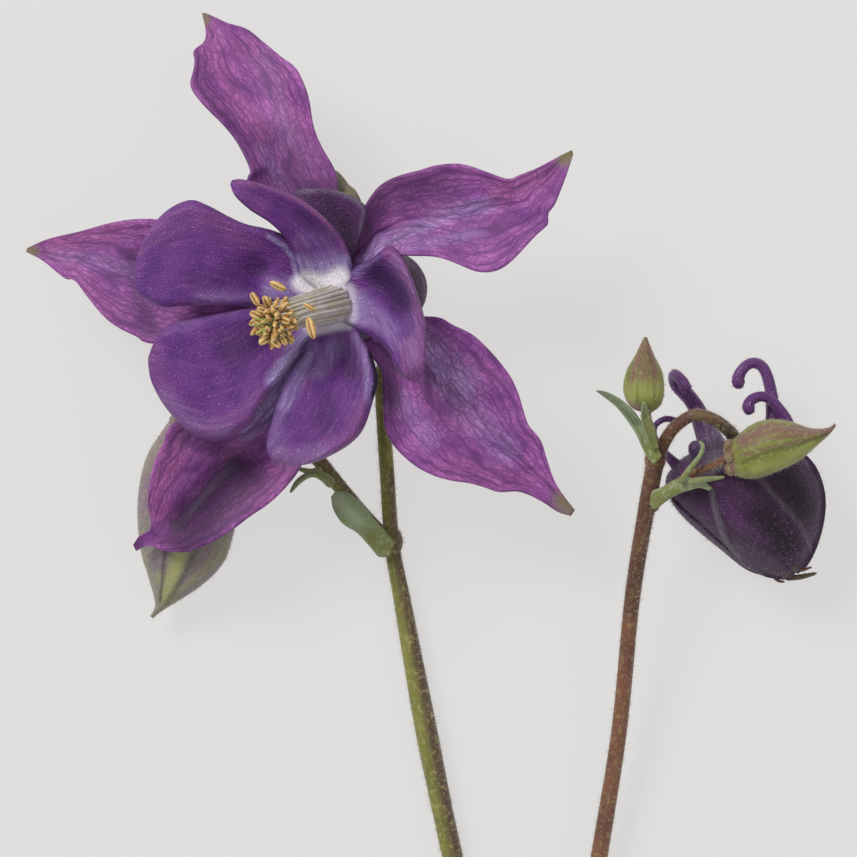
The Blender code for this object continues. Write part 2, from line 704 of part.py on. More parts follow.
# Spurs of the nodding bloom: photo pixels and heights from root to tip, then radii in mm.
NODDING_SPURS = (
    ([(724, 470, 7.4), (709, 438, 7.0), (693, 402, 6.2), (677, 380, 6.4), (676, 374, 7.4),
      (682, 384, 8.6), (689, 395, 8.6)], (2.0, 1.5, 1.15, 0.9, 0.85, 0.8, 0.68)),
    ([(768, 480, 7.0), (771, 427, 6.8), (767, 385, 6.4), (759, 364, 6.4), (748, 360, 6.6),
      (740, 370, 6.8), (741, 384, 6.8)], (1.5, 1.1, 0.88, 0.72, 0.62, 0.62, 0.7)),
    ([(784, 480, 8.4), (787, 428, 8.6), (776, 403, 9.0), (762, 395, 9.2), (752, 401, 9.4),
      (751, 409, 9.6), (756, 411, 9.6)], (1.5, 1.15, 0.85, 0.62, 0.56, 0.58, 0.62)),
    ([(694, 486, 7.9), (679, 464, 7.7), (668, 449, 7.3), (675, 432, 7.0), (672, 420, 7.0),
      (659, 422, 7.0), (655, 434, 7.2), (659, 446, 7.4)],
     (1.4, 1.1, 0.6, 0.5, 0.46, 0.44, 0.44, 0.5)),
    ([(712, 480, 9.6), (704, 464, 10.8), (696, 449, 11.4), (693, 443, 11.0)],
     (1.5, 1.1, 0.95, 0.8)),
)
NODDING_SEPAL_CLEARANCE = 0.3
NODDING_SEPAL_FEET = (86, 140, 228, 278, 328)   # where each starts round the core
NODDING_SEPAL_TURNS = (62, 132, 204, 276, 348)  # and where it lies further down
NODDING_SEPAL_WIDTHS = (9, 26, 32, 31, 24, 4)   # half angle round the core, degrees
NODDING_SEPAL_SETTLED = 0.5
NODDING_SEPAL_START = 0.16
NODDING_SEPAL_END = 0.97


def core_point(one, other, v, turn, clearance):
    """Point off the nodding bloom's core, this many mm clear of its petals."""
    _, _, heights, depths = NODDING_CORE
    centre = pod_surface(one, other, heights, (0.0, 0.0), v, math.pi / 2)
    point = pod_surface(one, other, heights, depths, v, turn)
    return point + (point - centre).normalized() * clearance * MM


def wrapped_sepal(name, foot_degrees, degrees):
    """One sepal lying over the core between two petals."""
    across, along = 6, 12
    one, other = (even_points(flat(side), 24) for side in NODDING_CORE[:2])
    inner = []
    outer = []
    for row in range(along + 1):
        share = row / along
        v = NODDING_SEPAL_START + (NODDING_SEPAL_END - NODDING_SEPAL_START) * share
        half = spline(NODDING_SEPAL_WIDTHS, share)
        settled = min(share / NODDING_SEPAL_SETTLED, 1.0)
        middle = foot_degrees + (degrees - foot_degrees) * settled * settled * (3 - 2 * settled)
        for column in range(across + 1):
            u = (column - across / 2) / (across / 2)
            turn = math.radians(middle + u * half)
            clearance = NODDING_SEPAL_CLEARANCE + 0.25 * (1 - abs(u))
            inner.append(core_point(one, other, v, turn, clearance))
            outer.append(core_point(one, other, v, turn, clearance + BLADE_THICKNESS))
    finish(shell(name, outer, inner, across, along), "dark_bloom")


def make_nodding_bloom():
    core = pod("nodding_petals", *NODDING_CORE, 20, 16, ribs=(5, 0.03))
    spurs = [tube(f"nodding_spur_{index}", route(stations), radii, 8, 14)
             for index, (stations, radii) in enumerate(NODDING_SPURS)]
    join("nodding_petals", [core] + spurs, "dark_bloom")
    for index, (foot, degrees) in enumerate(zip(NODDING_SEPAL_FEET, NODDING_SEPAL_TURNS)):
        wrapped_sepal(f"nodding_sepal_{index + 1}", foot, degrees)


BRACTS = {
    "bract_left": (
        [(389, 538), (377, 528), (366, 512), (350, 497), (341, 491), (333, 491)],
        [(384, 556), (370, 549), (355, 533), (340, 523), (333, 510), (331, 496)],
        (4.7, 5.2, 5.8, 6.2, 6.2), ((0, 0.3, 0.4, 0), (0, 0.3, 0.4, 0)),
    ),
    "bract_right": (
        [(652, 502), (661, 493), (673, 488), (688, 485), (700, 483), (712, 487)],
        [(658, 511), (668, 505), (683, 498), (697, 490), (711, 490)],
        (12.7, 13.8, 14.9, 15.4, 15.6), ((0, 0.3, 0.3, 0), (0, 0.3, 0.3, 0)),
    ),
    "bract_narrow": (
        [(651, 461), (642, 444), (632, 423), (618, 404), (596, 391)],
        [(656, 457), (649, 442), (638, 419), (622, 400), (597, 389)],
        (13.7, 13.5, 12.9, 12.3, 11.8), ((0, 0.1, 0.1, 0), (0, 0.1, 0.1, 0)),
    ),
    "bract_small": (
        [(653, 450), (649, 436), (644, 420), (643, 403)],
        [(659, 448), (656, 434), (650, 416), (645, 402)],
        (14.3, 15.2, 16.0, 17.4), ((0, 0.2, 0.2, 0), (0, 0.2, 0.2, 0)),
    ),
}
STIPULES = {
    "stipule_long": ([(688, 482, 15.9), (700, 480, 16.4), (725, 477, 16.2)],
                     (0.32, 0.34, 0.16)),
    "stipule_curled": ([(679, 484, 15.6), (689, 470, 16.4), (700, 456, 16.8),
                        (703, 446, 16.4), (699, 441, 15.8)], (0.36, 0.34, 0.3, 0.26, 0.16)),
    "bracteole_upper": ([(318, 470, 6.3), (308, 477, 6.7), (297, 484, 6.6), (290, 493, 6.0)],
                        (0.3, 0.36, 0.32, 0.16)),
    "bracteole_lower": ([(314, 463, 6.6), (304, 466, 6.9), (296, 468, 6.6)],
                        (0.3, 0.3, 0.16)),
}


def make_bracts():
    for name, (left, right, heights, lifts) in BRACTS.items():
        sheet = blade(name, left, right, heights, lifts, across=4, along=8)
        finish(sheet, "leaf")
    for name, (stations, radii) in STIPULES.items():
        sliver = tube(name, route(stations), radii, 6, 6)
        finish(sliver, "leaf")


def main():
    make_sepals()
    make_petals()
    make_stamens()
    make_pistils()
    make_stalk()
    make_buds()
    make_nodding_bloom()
    make_bracts()


main()
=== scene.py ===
import math
import random

import bpy
import numpy as np
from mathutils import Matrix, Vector


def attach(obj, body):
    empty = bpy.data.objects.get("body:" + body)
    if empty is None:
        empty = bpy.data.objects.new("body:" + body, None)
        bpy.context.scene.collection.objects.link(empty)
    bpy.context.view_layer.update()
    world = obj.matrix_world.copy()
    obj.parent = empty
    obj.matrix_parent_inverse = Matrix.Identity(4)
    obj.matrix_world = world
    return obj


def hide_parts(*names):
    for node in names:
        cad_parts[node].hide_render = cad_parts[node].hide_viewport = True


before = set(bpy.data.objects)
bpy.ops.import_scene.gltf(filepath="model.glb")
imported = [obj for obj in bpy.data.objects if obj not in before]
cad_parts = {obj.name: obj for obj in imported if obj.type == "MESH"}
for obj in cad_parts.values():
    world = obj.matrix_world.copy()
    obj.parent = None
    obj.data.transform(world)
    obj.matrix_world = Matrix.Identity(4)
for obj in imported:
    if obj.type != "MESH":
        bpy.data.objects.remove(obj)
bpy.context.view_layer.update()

# The photograph looks straight down at a cut columbine stalk. A photo pixel and a height in
# millimetres give a place, so every outline below is written in photo pixels.
view = {
    "pixel": 0.11,                 # mm that one photo pixel covers at the surface
    "eye": 920.0,                  # mm from the surface to the camera
    "middle": 428.5,               # pixel at the middle of the photograph
    "origin": (429.08, 659.3),     # pixel above the frame's origin
    "lens": 351.3,
    "sensor": 36.0,
}
mm = 0.001  # the frame is in metres
shiftX, shiftY = ((place - view["middle"]) * view["pixel"] for place in view["origin"])
finePerSpan = 12  # short steps between two points of an outline or route


def toFrame(px, py, height):
    nearer = 1 - height / view["eye"]
    x = (px - view["middle"]) * view["pixel"] * nearer - shiftX
    y = (view["middle"] - py) * view["pixel"] * nearer + shiftY
    return Vector((x, y, height)) * mm


def routeOf(stations):
    return [toFrame(*station) for station in stations]


def curveThrough(values, share):
    last = len(values) - 1
    place = min(max(share, 0.0), 1.0) * last
    index = min(int(place), last - 1)
    t = place - index
    start, end = values[index], values[index + 1]
    before, after = values[max(index - 1, 0)], values[min(index + 2, last)]
    bendIn, bendOut, rise = (end - before) * 0.5, (after - start) * 0.5, end - start
    return start + bendIn * t + (rise * 3 - bendIn * 2 - bendOut) * t * t \
        + (bendIn + bendOut - rise * 2) * t * t * t


def evenAlong(points, count):
    points = [Vector(point) for point in points]
    fineSteps = finePerSpan * (len(points) - 1)
    fine = [curveThrough(points, i / fineSteps) for i in range(fineSteps + 1)]
    lengths = [0.0]
    for a, b in zip(fine, fine[1:]):
        lengths.append(lengths[-1] + (b - a).length)
    result, index = [], 0
    for step in range(count + 1):
        target = lengths[-1] * step / count
        while index < fineSteps - 1 and lengths[index + 1] < target:
            index += 1
        span = max(lengths[index + 1] - lengths[index], 1e-12)
        result.append(fine[index].lerp(fine[index + 1], (target - lengths[index]) / span))
    return result


# One grid primitive is shaped into each sheet, bud and tube of the plant.
def shapedGrid(name, columns, rows, place, closed=False):
    bpy.ops.object.select_all(action="DESELECT")
    bpy.ops.mesh.primitive_grid_add(x_subdivisions=columns, y_subdivisions=rows, size=2)
    piece = bpy.context.object
    piece.name = piece.data.name = name
    mesh = piece.data
    mesh.uv_layers[0].name = "shapeMap"  # across and along, each from 0 to 1
    grid = [((v.co.x + 1) / 2, (v.co.y + 1) / 2) for v in mesh.vertices]
    spots = [place(u, v) for u, v in grid]
    for spot in spots:
        spot.z = max(spot.z, 0.0)  # nothing sinks into the surface below
    for vertex, spot in zip(mesh.vertices, spots):
        vertex.co = spot
    addSizeMap(mesh, grid, spots, columns, rows)
    if closed:
        bpy.ops.object.mode_set(mode="EDIT")
        bpy.ops.mesh.select_all(action="SELECT")
        bpy.ops.mesh.remove_doubles(threshold=0.000002)
        bpy.ops.mesh.fill_holes(sides=0)
        bpy.ops.mesh.normals_make_consistent(inside=False)
        bpy.ops.object.mode_set(mode="OBJECT")
    bpy.ops.object.shade_smooth()
    return piece


def addSizeMap(mesh, grid, spots, columns, rows):
    # a second map in millimetres, so that veins and cells keep their real size
    byCell = {(round(u * columns), round(v * rows)): spot for (u, v), spot in zip(grid, spots)}
    middle = columns // 2
    alongMm = [0.0]
    for row in range(rows):
        alongMm.append(alongMm[-1] + (byCell[middle, row + 1] - byCell[middle, row]).length / mm)
    acrossMm = {}
    for row in range(rows + 1):
        running = [0.0]
        for column in range(columns):
            step = (byCell[column + 1, row] - byCell[column, row]).length / mm
            running.append(running[-1] + step)
        for column in range(columns + 1):
            acrossMm[column, row] = running[column] - running[middle]
    layer = mesh.uv_layers.new(name="sizeMap")
    places = [(acrossMm[round(u * columns), round(v * rows)], alongMm[round(v * rows)])
              for u, v in grid]
    for loop in mesh.loops:
        layer.data[loop.index].uv = places[loop.vertex_index]


def smoothStep(values):
    values = np.clip(values, 0, 1)
    return values * values * (3 - 2 * values)


markNames = ("pale", "dark", "warm", "green")
strokeFull = 1.15      # a stroke is full strength where its fading share is still over 1
strokeSoftness = 1.7   # half widths over which it fades out


# Colour marks: each stroke is (mark, strength, half width in pixels, photo points). A strength
# over 1 gives the mark a crisp edge.
# Besides the plant's own paler and darker colour, the pale marks carry painted highlight and the
# dark marks carry painted shade.
def brushMarks(piece, strokes):
    mesh = piece.data
    count = len(mesh.vertices)
    places = np.zeros(count * 3)
    mesh.vertices.foreach_get("co", places)
    places = places.reshape(-1, 3) / mm
    nearer = 1 - places[:, 2] / view["eye"]
    px = (places[:, 0] + shiftX) / nearer / view["pixel"] + view["middle"]
    py = view["middle"] - (places[:, 1] - shiftY) / nearer / view["pixel"]
    at = np.stack([px, py], axis=1)
    for mark in markNames:
        amount = np.zeros(count)
        for kind, strength, width, points in strokes:
            if kind != mark:
                continue
            ends = np.array(points, float)
            if len(ends) == 1:
                ends = np.concatenate([ends, ends + 0.01])  # a dot is a very short stroke
            nearest = np.full(count, 1e9)
            for a, b in zip(ends, ends[1:]):
                along = b - a
                t = np.clip(((at - a) @ along) / (along @ along), 0, 1)
                nearest = np.minimum(nearest, np.hypot(*(at - a - t[:, None] * along).T))
            fading = smoothStep(strokeFull - nearest / width / strokeSoftness)
            amount = np.maximum(amount, strength * fading)
        layer = mesh.attributes.get(mark) or mesh.attributes.new(mark, "FLOAT", "POINT")
        layer.data.foreach_set("value", np.minimum(amount, 1.0).astype(np.float32))


def useModifier(piece, kind, **settings):
    bpy.ops.object.select_all(action="DESELECT")
    piece.select_set(True)
    bpy.context.view_layer.objects.active = piece
    modifier = piece.modifiers.new(kind.title(), kind)
    for key, value in settings.items():
        setattr(modifier, key, value)
    bpy.ops.object.modifier_apply(modifier=modifier.name)


def joinInto(first, others):
    bpy.ops.object.select_all(action="DESELECT")
    for piece in [first] + others:
        piece.select_set(True)
    bpy.context.view_layer.objects.active = first
    bpy.ops.object.join()
    return first


def handOver(piece, finish, nodes):
    if finish:
        piece.data.materials.clear()
        piece.data.materials.append(finish)
    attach(piece, "root")
    if nodes:
        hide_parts(*nodes)


def hexColour(text):
    channels = [int(text[i:i + 2], 16) / 255 for i in (1, 3, 5)]
    linear = [c / 12.92 if c <= 0.04045 else ((c + 0.055) / 1.055) ** 2.4 for c in channels]
    return (*linear, 1.0)


def plainValue(value):
    return hexColour(value) if isinstance(value, str) else value


def addNode(tree, kind, inputs=None, output=0, **settings):
    # an input is another node's output, a hex colour text or a plain value
    node = tree.nodes.new(kind)
    for key, value in settings.items():
        setattr(node, key, value)
    for socket, value in (inputs or {}).items():
        if isinstance(value, bpy.types.NodeSocket):
            tree.links.new(value, node.inputs[socket])
        else:
            node.inputs[socket].default_value = plainValue(value)
    return node.outputs[output]


def newFinish(name, **sockets):
    finish = bpy.data.materials.new(name)
    finish.use_nodes = True
    shader = finish.node_tree.nodes["Principled BSDF"]
    for socket, value in sockets.items():
        shader.inputs[socket.replace("_", " ")].default_value = plainValue(value)
    return finish, finish.node_tree, shader


def readMarks(tree, *names):
    return [addNode(tree, "ShaderNodeAttribute", None, "Fac", attribute_name=name)
            for name in names]


# Each pattern is a texture, its inputs and settings, the range of it that is read, and the
# shares of colour that the two ends of that range give.
def layPatterns(tree, patterns):
    textures, shares = {}, {}
    for name, (kind, inputs, settings, (low, high), (least, most)) in patterns.items():
        textures[name] = addNode(tree, "ShaderNodeTex" + kind, inputs, **settings)
        stretch = {"Value": textures[name], "From Min": low, "From Max": high,
                   "To Min": least, "To Max": most}
        shares[name] = addNode(tree, "ShaderNodeMapRange", stretch,
                               interpolation_type="SMOOTHSTEP")
    return textures, shares


# Colours go over each other in layers of (share, times, colour), then the relief is pressed in.
def paintSkin(tree, shader, base, layers, relief=None, strength=0.0, depth=0.0):
    for share, times, colour in layers:
        amount = addNode(tree, "ShaderNodeMath", {0: share, 1: times}, operation="MULTIPLY")
        base = addNode(tree, "ShaderNodeMix", {0: amount, 6: base, 7: colour}, 2,
                       data_type="RGBA")
    tree.links.new(base, shader.inputs["Base Color"])
    if relief is not None:
        bump = addNode(tree, "ShaderNodeBump",
                       {"Strength": strength, "Distance": depth, "Height": relief})
        tree.links.new(bump, shader.inputs["Normal"])


cellEdges = {"feature": "DISTANCE_TO_EDGE"}


# Living sepal skin of columbine: soft, slightly downy, with a rib every 1.1 to 1.5 mm, a net of
# veins 1 mm apart and finer ones 0.4 mm apart, over a lilac ground. Patterns are per millimetre.
def sepalSkin(name, ground, groundTwo, vein, pale, warm, dark, green):
    finish, tree, shader = newFinish(name, Roughness=0.58, IOR=1.38, Sheen_Weight=0.06,
                                     Sheen_Roughness=0.5, Sheen_Tint="#CDB8DA")
    size = addNode(tree, "ShaderNodeUVMap", uv_map="sizeMap")
    shape = addNode(tree, "ShaderNodeUVMap", uv_map="shapeMap")
    paleMark, darkMark, warmMark, greenMark = readMarks(tree, *markNames)
    wobble = addNode(tree, "ShaderNodeTexNoise", {"Vector": size, "Scale": 0.5, "Detail": 3.0}, 1)
    bent = addNode(tree, "ShaderNodeMix", {0: 0.10, 4: shape, 5: wobble}, 1, data_type="VECTOR")
    bentSize = addNode(tree, "ShaderNodeVectorMath", {0: size, 1: wobble}, operation="ADD")
    long = addNode(tree, "ShaderNodeMapping", {"Vector": size, "Scale": (2.6, 0.25, 1.0)})
    fan = addNode(tree, "ShaderNodeMapping", {"Vector": bent, "Scale": (10.0, 1.3, 1.0)})
    narrow = addNode(tree, "ShaderNodeMapping", {"Vector": bentSize, "Scale": (1.0, 0.36, 1.0)})
    shares = layPatterns(tree, {
        "cloud": ("Noise", {"Vector": size, "Scale": 0.28, "Detail": 4.0}, {},
                  (0.35, 0.65), (0.0, 1.0)),
        "streak": ("Noise", {"Vector": long, "Scale": 1.0, "Detail": 3.0}, {},
                   (0.3, 0.7), (0.45, 1.1)),
        "rib": ("Voronoi", {"Vector": fan, "Scale": 1.0, "Randomness": 0.7}, cellEdges,
                (0.0, 0.08), (0.8, 0.0)),
        "net": ("Voronoi", {"Vector": narrow, "Scale": 1.0, "Randomness": 0.9}, cellEdges,
                (0.0, 0.1), (0.6, 0.0)),
        "fine": ("Voronoi", {"Vector": narrow, "Scale": 2.3, "Randomness": 1.0}, cellEdges,
                 (0.0, 0.18), (0.5, 0.0)),
    })[1]
    veins = shares["rib"]
    for other in ("net", "fine"):
        veins = addNode(tree, "ShaderNodeMath", {0: veins, 1: shares[other]},
                        operation="MAXIMUM")
    grain = addNode(tree, "ShaderNodeTexNoise", {"Vector": size, "Scale": 6.0, "Detail": 3.0})
    softGrain = addNode(tree, "ShaderNodeMath", {0: grain, 1: 0.35}, operation="MULTIPLY")
    relief = addNode(tree, "ShaderNodeMath", {0: softGrain, 1: veins}, operation="SUBTRACT")
    # On the sepals the pale mark is painted highlight over the lavender midribs, and the dark mark
    # is painted shade in folds and under the petals, along with thin darker midrib lines.
    paintSkin(tree, shader, ground,
              [(shares["cloud"], 1.0, groundTwo), (paleMark, shares["streak"], pale),
               (warmMark, shares["streak"], warm), (veins, 0.85, vein), (darkMark, 1.0, dark),
               (greenMark, 1.0, green)], relief, 0.25, 0.0002)
    return finish


# Living petal skin of columbine: deep violet with wrinkled cells about 0.3 by 0.5 mm, white in
# the throat and mauve where the rim rolls back. Patterns are per millimetre.
def petalSkin(name, ground, groundTwo, crease, pale, warm, dark, green, roughness=0.5):
    finish, tree, shader = newFinish(name, Roughness=roughness, IOR=1.38, Sheen_Weight=0.06,
                                     Sheen_Roughness=0.5, Sheen_Tint="#C7B2DA")
    size = addNode(tree, "ShaderNodeUVMap", uv_map="sizeMap")
    paleMark, darkMark, warmMark, greenMark = readMarks(tree, *markNames)
    long = addNode(tree, "ShaderNodeMapping", {"Vector": size, "Scale": (2.4, 0.25, 1.0)})
    squeezed = addNode(tree, "ShaderNodeMapping", {"Vector": size, "Scale": (1.0, 0.62, 1.0)})
    streaky = {"Vector": long, "Scale": 1.0, "Detail": 3.0}
    shares = layPatterns(tree, {
        "cloud": ("Noise", {"Vector": size, "Scale": 0.3, "Detail": 5.0}, {},
                  (0.35, 0.65), (0.0, 1.0)),
        "streak": ("Noise", streaky, {}, (0.3, 0.7), (0.45, 1.1)),
        "flush": ("Noise", streaky, {}, (0.5, 0.75), (0.0, 0.5)),
        "ridge": ("Wave", {"Vector": size, "Scale": 0.42, "Distortion": 7.0, "Detail": 2.5,
                           "Detail Scale": 0.9}, {"output": 1}, (0.25, 0.6), (0.6, 0.0)),
        "cell": ("Voronoi", {"Vector": squeezed, "Scale": 3.4, "Randomness": 0.9}, cellEdges,
                 (0.0, 0.35), (0.75, 0.0)),
    })[1]
    lines = addNode(tree, "ShaderNodeMath", {0: shares["cell"], 1: shares["ridge"]},
                    operation="MAXIMUM")
    relief = addNode(tree, "ShaderNodeMath", {0: 1.0, 1: lines}, operation="SUBTRACT")
    # The pale mark lays the white of the throat and also painted highlight and sheen on edges and
    # blades. The dark mark lays painted shade in hollows, in folds and in gaps between pieces.
    paintSkin(tree, shader, ground,
              [(shares["cloud"], 1.0, groundTwo), (shares["flush"], 1.0, warm),
               (warmMark, shares["streak"], warm), (paleMark, shares["streak"], pale),
               (lines, 0.62, crease), (darkMark, 1.0, dark), (greenMark, 1.0, green)],
              relief, 0.6, 0.0002)
    return finish


# Young herb skin: waxy green with long fine fibres and freckles. On Object coordinates, which
# are in metres, a scale of 1900 is about one freckle each half millimetre.
def herbSkin(name, ground, groundTwo, freckle, warm, pale, dark, roughness=0.55):
    finish, tree, shader = newFinish(name, Roughness=roughness, IOR=1.45, Sheen_Weight=0.2)
    place = addNode(tree, "ShaderNodeTexCoord", None, "Object")
    size = addNode(tree, "ShaderNodeUVMap", uv_map="sizeMap")
    long = addNode(tree, "ShaderNodeMapping", {"Vector": size, "Scale": (3.2, 0.18, 1.0)})
    paleMark, darkMark, warmMark = readMarks(tree, "pale", "dark", "warm")
    textures, shares = layPatterns(tree, {
        "cloud": ("Noise", {"Vector": place, "Scale": 260.0, "Detail": 5.0}, {},
                  (0.38, 0.62), (0.0, 1.0)),
        "freckle": ("Noise", {"Vector": place, "Scale": 1900.0, "Detail": 3.0}, {},
                    (0.52, 0.7), (0.0, 0.75)),
        "fibre": ("Noise", {"Vector": long, "Scale": 1.0, "Detail": 3.0}, {},
                  (0.55, 0.72), (0.0, 0.3)),
    })
    softFreckle = addNode(tree, "ShaderNodeMath", {0: textures["freckle"], 1: 0.4},
                          operation="MULTIPLY")
    relief = addNode(tree, "ShaderNodeMath", {0: textures["fibre"], 1: softFreckle},
                     operation="ADD")
    paintSkin(tree, shader, ground,
              [(shares["cloud"], 1.0, groundTwo), (warmMark, 1.0, warm), (paleMark, 1.0, pale),
               (shares["freckle"], 1.0, freckle), (shares["fibre"], 1.0, pale),
               (darkMark, 1.0, dark)], relief, 0.4, 0.0002)
    return finish


# Pollen sacs: dry and grainy, golden ochre with a brown furrow between pale rims.
def antherSkin(name, ground, groundTwo, rim, furrow):
    finish, tree, shader = newFinish(name, Roughness=0.62, IOR=1.45)
    place = addNode(tree, "ShaderNodeTexCoord", None, "Object")
    paleMark, darkMark = readMarks(tree, "pale", "dark")
    shares = layPatterns(tree, {
        "patch": ("Noise", {"Vector": place, "Scale": 700.0, "Detail": 4.0}, {},
                  (0.4, 0.62), (0.0, 1.0)),
    })[1]
    grain = addNode(tree, "ShaderNodeTexNoise", {"Vector": place, "Scale": 6000.0, "Detail": 2.0})
    paintSkin(tree, shader, ground,
              [(shares["patch"], 1.0, groundTwo), (paleMark, 1.0, rim), (darkMark, 1.0, furrow)],
              grain, 0.5, 0.00008)
    return finish


# Filaments and hairs: watery living threads that let light through.
def threadSkin(name, ground, groundTwo, clear=0.25, roughness=0.35):
    finish, tree, shader = newFinish(name, Roughness=roughness, IOR=1.4,
                                     Transmission_Weight=clear)
    place = addNode(tree, "ShaderNodeTexCoord", None, "Object")
    shares = layPatterns(tree, {
        "patch": ("Noise", {"Vector": place, "Scale": 900.0, "Detail": 3.0}, {},
                  (0.4, 0.6), (0.0, 1.0)),
    })[1]
    paintSkin(tree, shader, ground, [(shares["patch"], 1.0, groundTwo)])
    return finish


finishes = {
    "sepal": sepalSkin("lilacSepalSkin", "#AA62AA", "#884692", "#451955", "#B8A4DC", "#AE6294",
                       "#280E30", "#7B7A3F"),
    "petal": petalSkin("violetPetalSkin", "#7F4096", "#673186", "#33144C", "#BBA8DC", "#A2609C",
                       "#1E0C34", "#EFEAF0"),
    "spur": petalSkin("mauveSpurSkin", "#70586E", "#5E4864", "#38263F", "#A9A0A8", "#8E6A86",
                      "#241630", "#7F7850"),
    # Back wall of petal_top: the petal's violet darkened into painted shade.
    "shoulder": petalSkin("shadedBackSkin", "#5C2E66", "#4A2256", "#281430", "#9A90A0",
                          "#6E4468", "#1F1026", "#6A6A50"),
    "leftStem": herbSkin("oliveStemSkin", "#7E7E32", "#6E6E2E", "#9A9A5A", "#55392F",
                         "#A2A45A", "#2E2A1C"),
    "rightStem": herbSkin("redStemSkin", "#784A36", "#643B2C", "#90804C", "#7C4A44",
                          "#94875C", "#2A1A18"),
    "bud": herbSkin("greyBudSkin", "#83826A", "#80707A", "#96927E", "#86687C", "#A6A66A",
                    "#3A3034"),
    "greenBud": herbSkin("greenBudSkin", "#7A7E32", "#70762E", "#92925A", "#7C4454",
                         "#9EA854", "#42341E"),
    "darkPetal": petalSkin("darkPetalSkin", "#421F42", "#502A54", "#1C0C22", "#8A808C",
                           "#6F3C78", "#100812", "#7A7444"),
    "darkSpur": petalSkin("darkSpurSkin", "#6C3A7A", "#7A4684", "#3A1C4A", "#B4A6B8",
                          "#86528A", "#1C0E28", "#6F6A48", 0.3),
    "leaf": herbSkin("bractSkin", "#84926A", "#77855C", "#98A282", "#757A3C", "#AEB898",
                     "#3A4432"),
    "anther": antherSkin("ochreAntherSkin", "#D0A260", "#A8743C", "#E8D89A", "#6A401E"),
    "filament": threadSkin("mauveFilamentSkin", "#E2D9D6", "#D2CAB2", 0.2, 0.25),
    "style": threadSkin("greenStyleSkin", "#B4BE6E", "#9AA856", 0.1),
    "paleHair": threadSkin("paleHairSkin", "#CDC6AE", "#B8AE90", 0.15, 0.5),
    "greyHair": threadSkin("greyVioletHairSkin", "#96899C", "#7F7286", 0.15, 0.5),
}
print("finishes ready")

bloom = {
    "seat": (350, 295),
    "seatHeight": 14.4,
    "axis": Vector((-0.40, -0.10, 0.91)).normalized(),
    "throat": (336, 300),
    "clawReach": 2.3,
    "clawHalfWidth": 1.0,
    "petalReach": 0.9,
    "petalHalfWidth": 2.3,
    "neckReach": 3,      # times the claw's reach and half width, where a sepal leaves it
    "neckHalfWidth": 1.2,
    "sheetThickness": 0.32,
    "edgeSteps": 70,
    "sepalGrid": (36, 84),
    "petalGrid": (48, 84),
}
sheetForm = {
    "tipFrom": 0.12,     # share of the length after which the tip counts as rim
    "rimFrom": 0.8,      # share of the half width where the rim starts to roll
    "lag": 0.37,         # how far one side's ripple trails the other's
    "ribWidth": 0.07,
}


def footPixels(centre, degrees, reach, halfWidth):
    angle = math.radians(degrees)
    out = Vector((math.cos(angle), -math.sin(angle)))
    side = Vector((-math.sin(angle), -math.cos(angle)))
    middle = Vector(centre) + out * (reach / view["pixel"])
    return middle + side * (halfWidth / view["pixel"]), middle - side * (halfWidth / view["pixel"])


# A sheet between two outlines: its rib's heights, how far its edges lift, how its rim rolls
# down, how it ripples, and the hollow where a spur opens.
def sheetPlace(shape, leftEdge, rightEdge, along):
    left = evenAlong(leftEdge, along)
    right = evenAlong(rightEdge, along)
    rimDrop = shape.get("rimDrop", 0.0)
    rippleHeight, rippleCount = shape.get("ripple", (0.0, 1.0))
    hollows = shape.get("hollows", ())

    def place(u, v):
        side = 2 * u - 1
        one, other = curveThrough(left, v), curveThrough(right, v)
        spot = ((one + other) / 2).lerp(one if side < 0 else other, abs(side))
        lift = curveThrough(shape["lifts"][0 if side < 0 else 1], v)
        height = curveThrough(shape["heights"], v) + lift * abs(side) ** shape.get("fold", 2.0)
        rim = max(abs(side), (v - sheetForm["tipFrom"]) / (1 - sheetForm["tipFrom"]))
        rolled = (rim - sheetForm["rimFrom"]) / (1 - sheetForm["rimFrom"])
        height -= rimDrop * max(0.0, rolled) ** 2
        turn = 2 * math.pi * (rippleCount * v + (0.0 if side < 0 else sheetForm["lag"]))
        height += rippleHeight * math.sin(turn) * abs(side) ** 2 * math.sin(math.pi * v)
        groove = math.exp(-(side / sheetForm["ribWidth"]) ** 2)
        height -= shape.get("midrib", 0.0) * groove * (1 - v)
        for hollowX, hollowY, radius, depth in hollows:
            away = (Vector((hollowX, hollowY)) - spot).length / radius
            height -= depth * math.exp(-away * away)
        return toFrame(spot.x, spot.y, height)

    return place


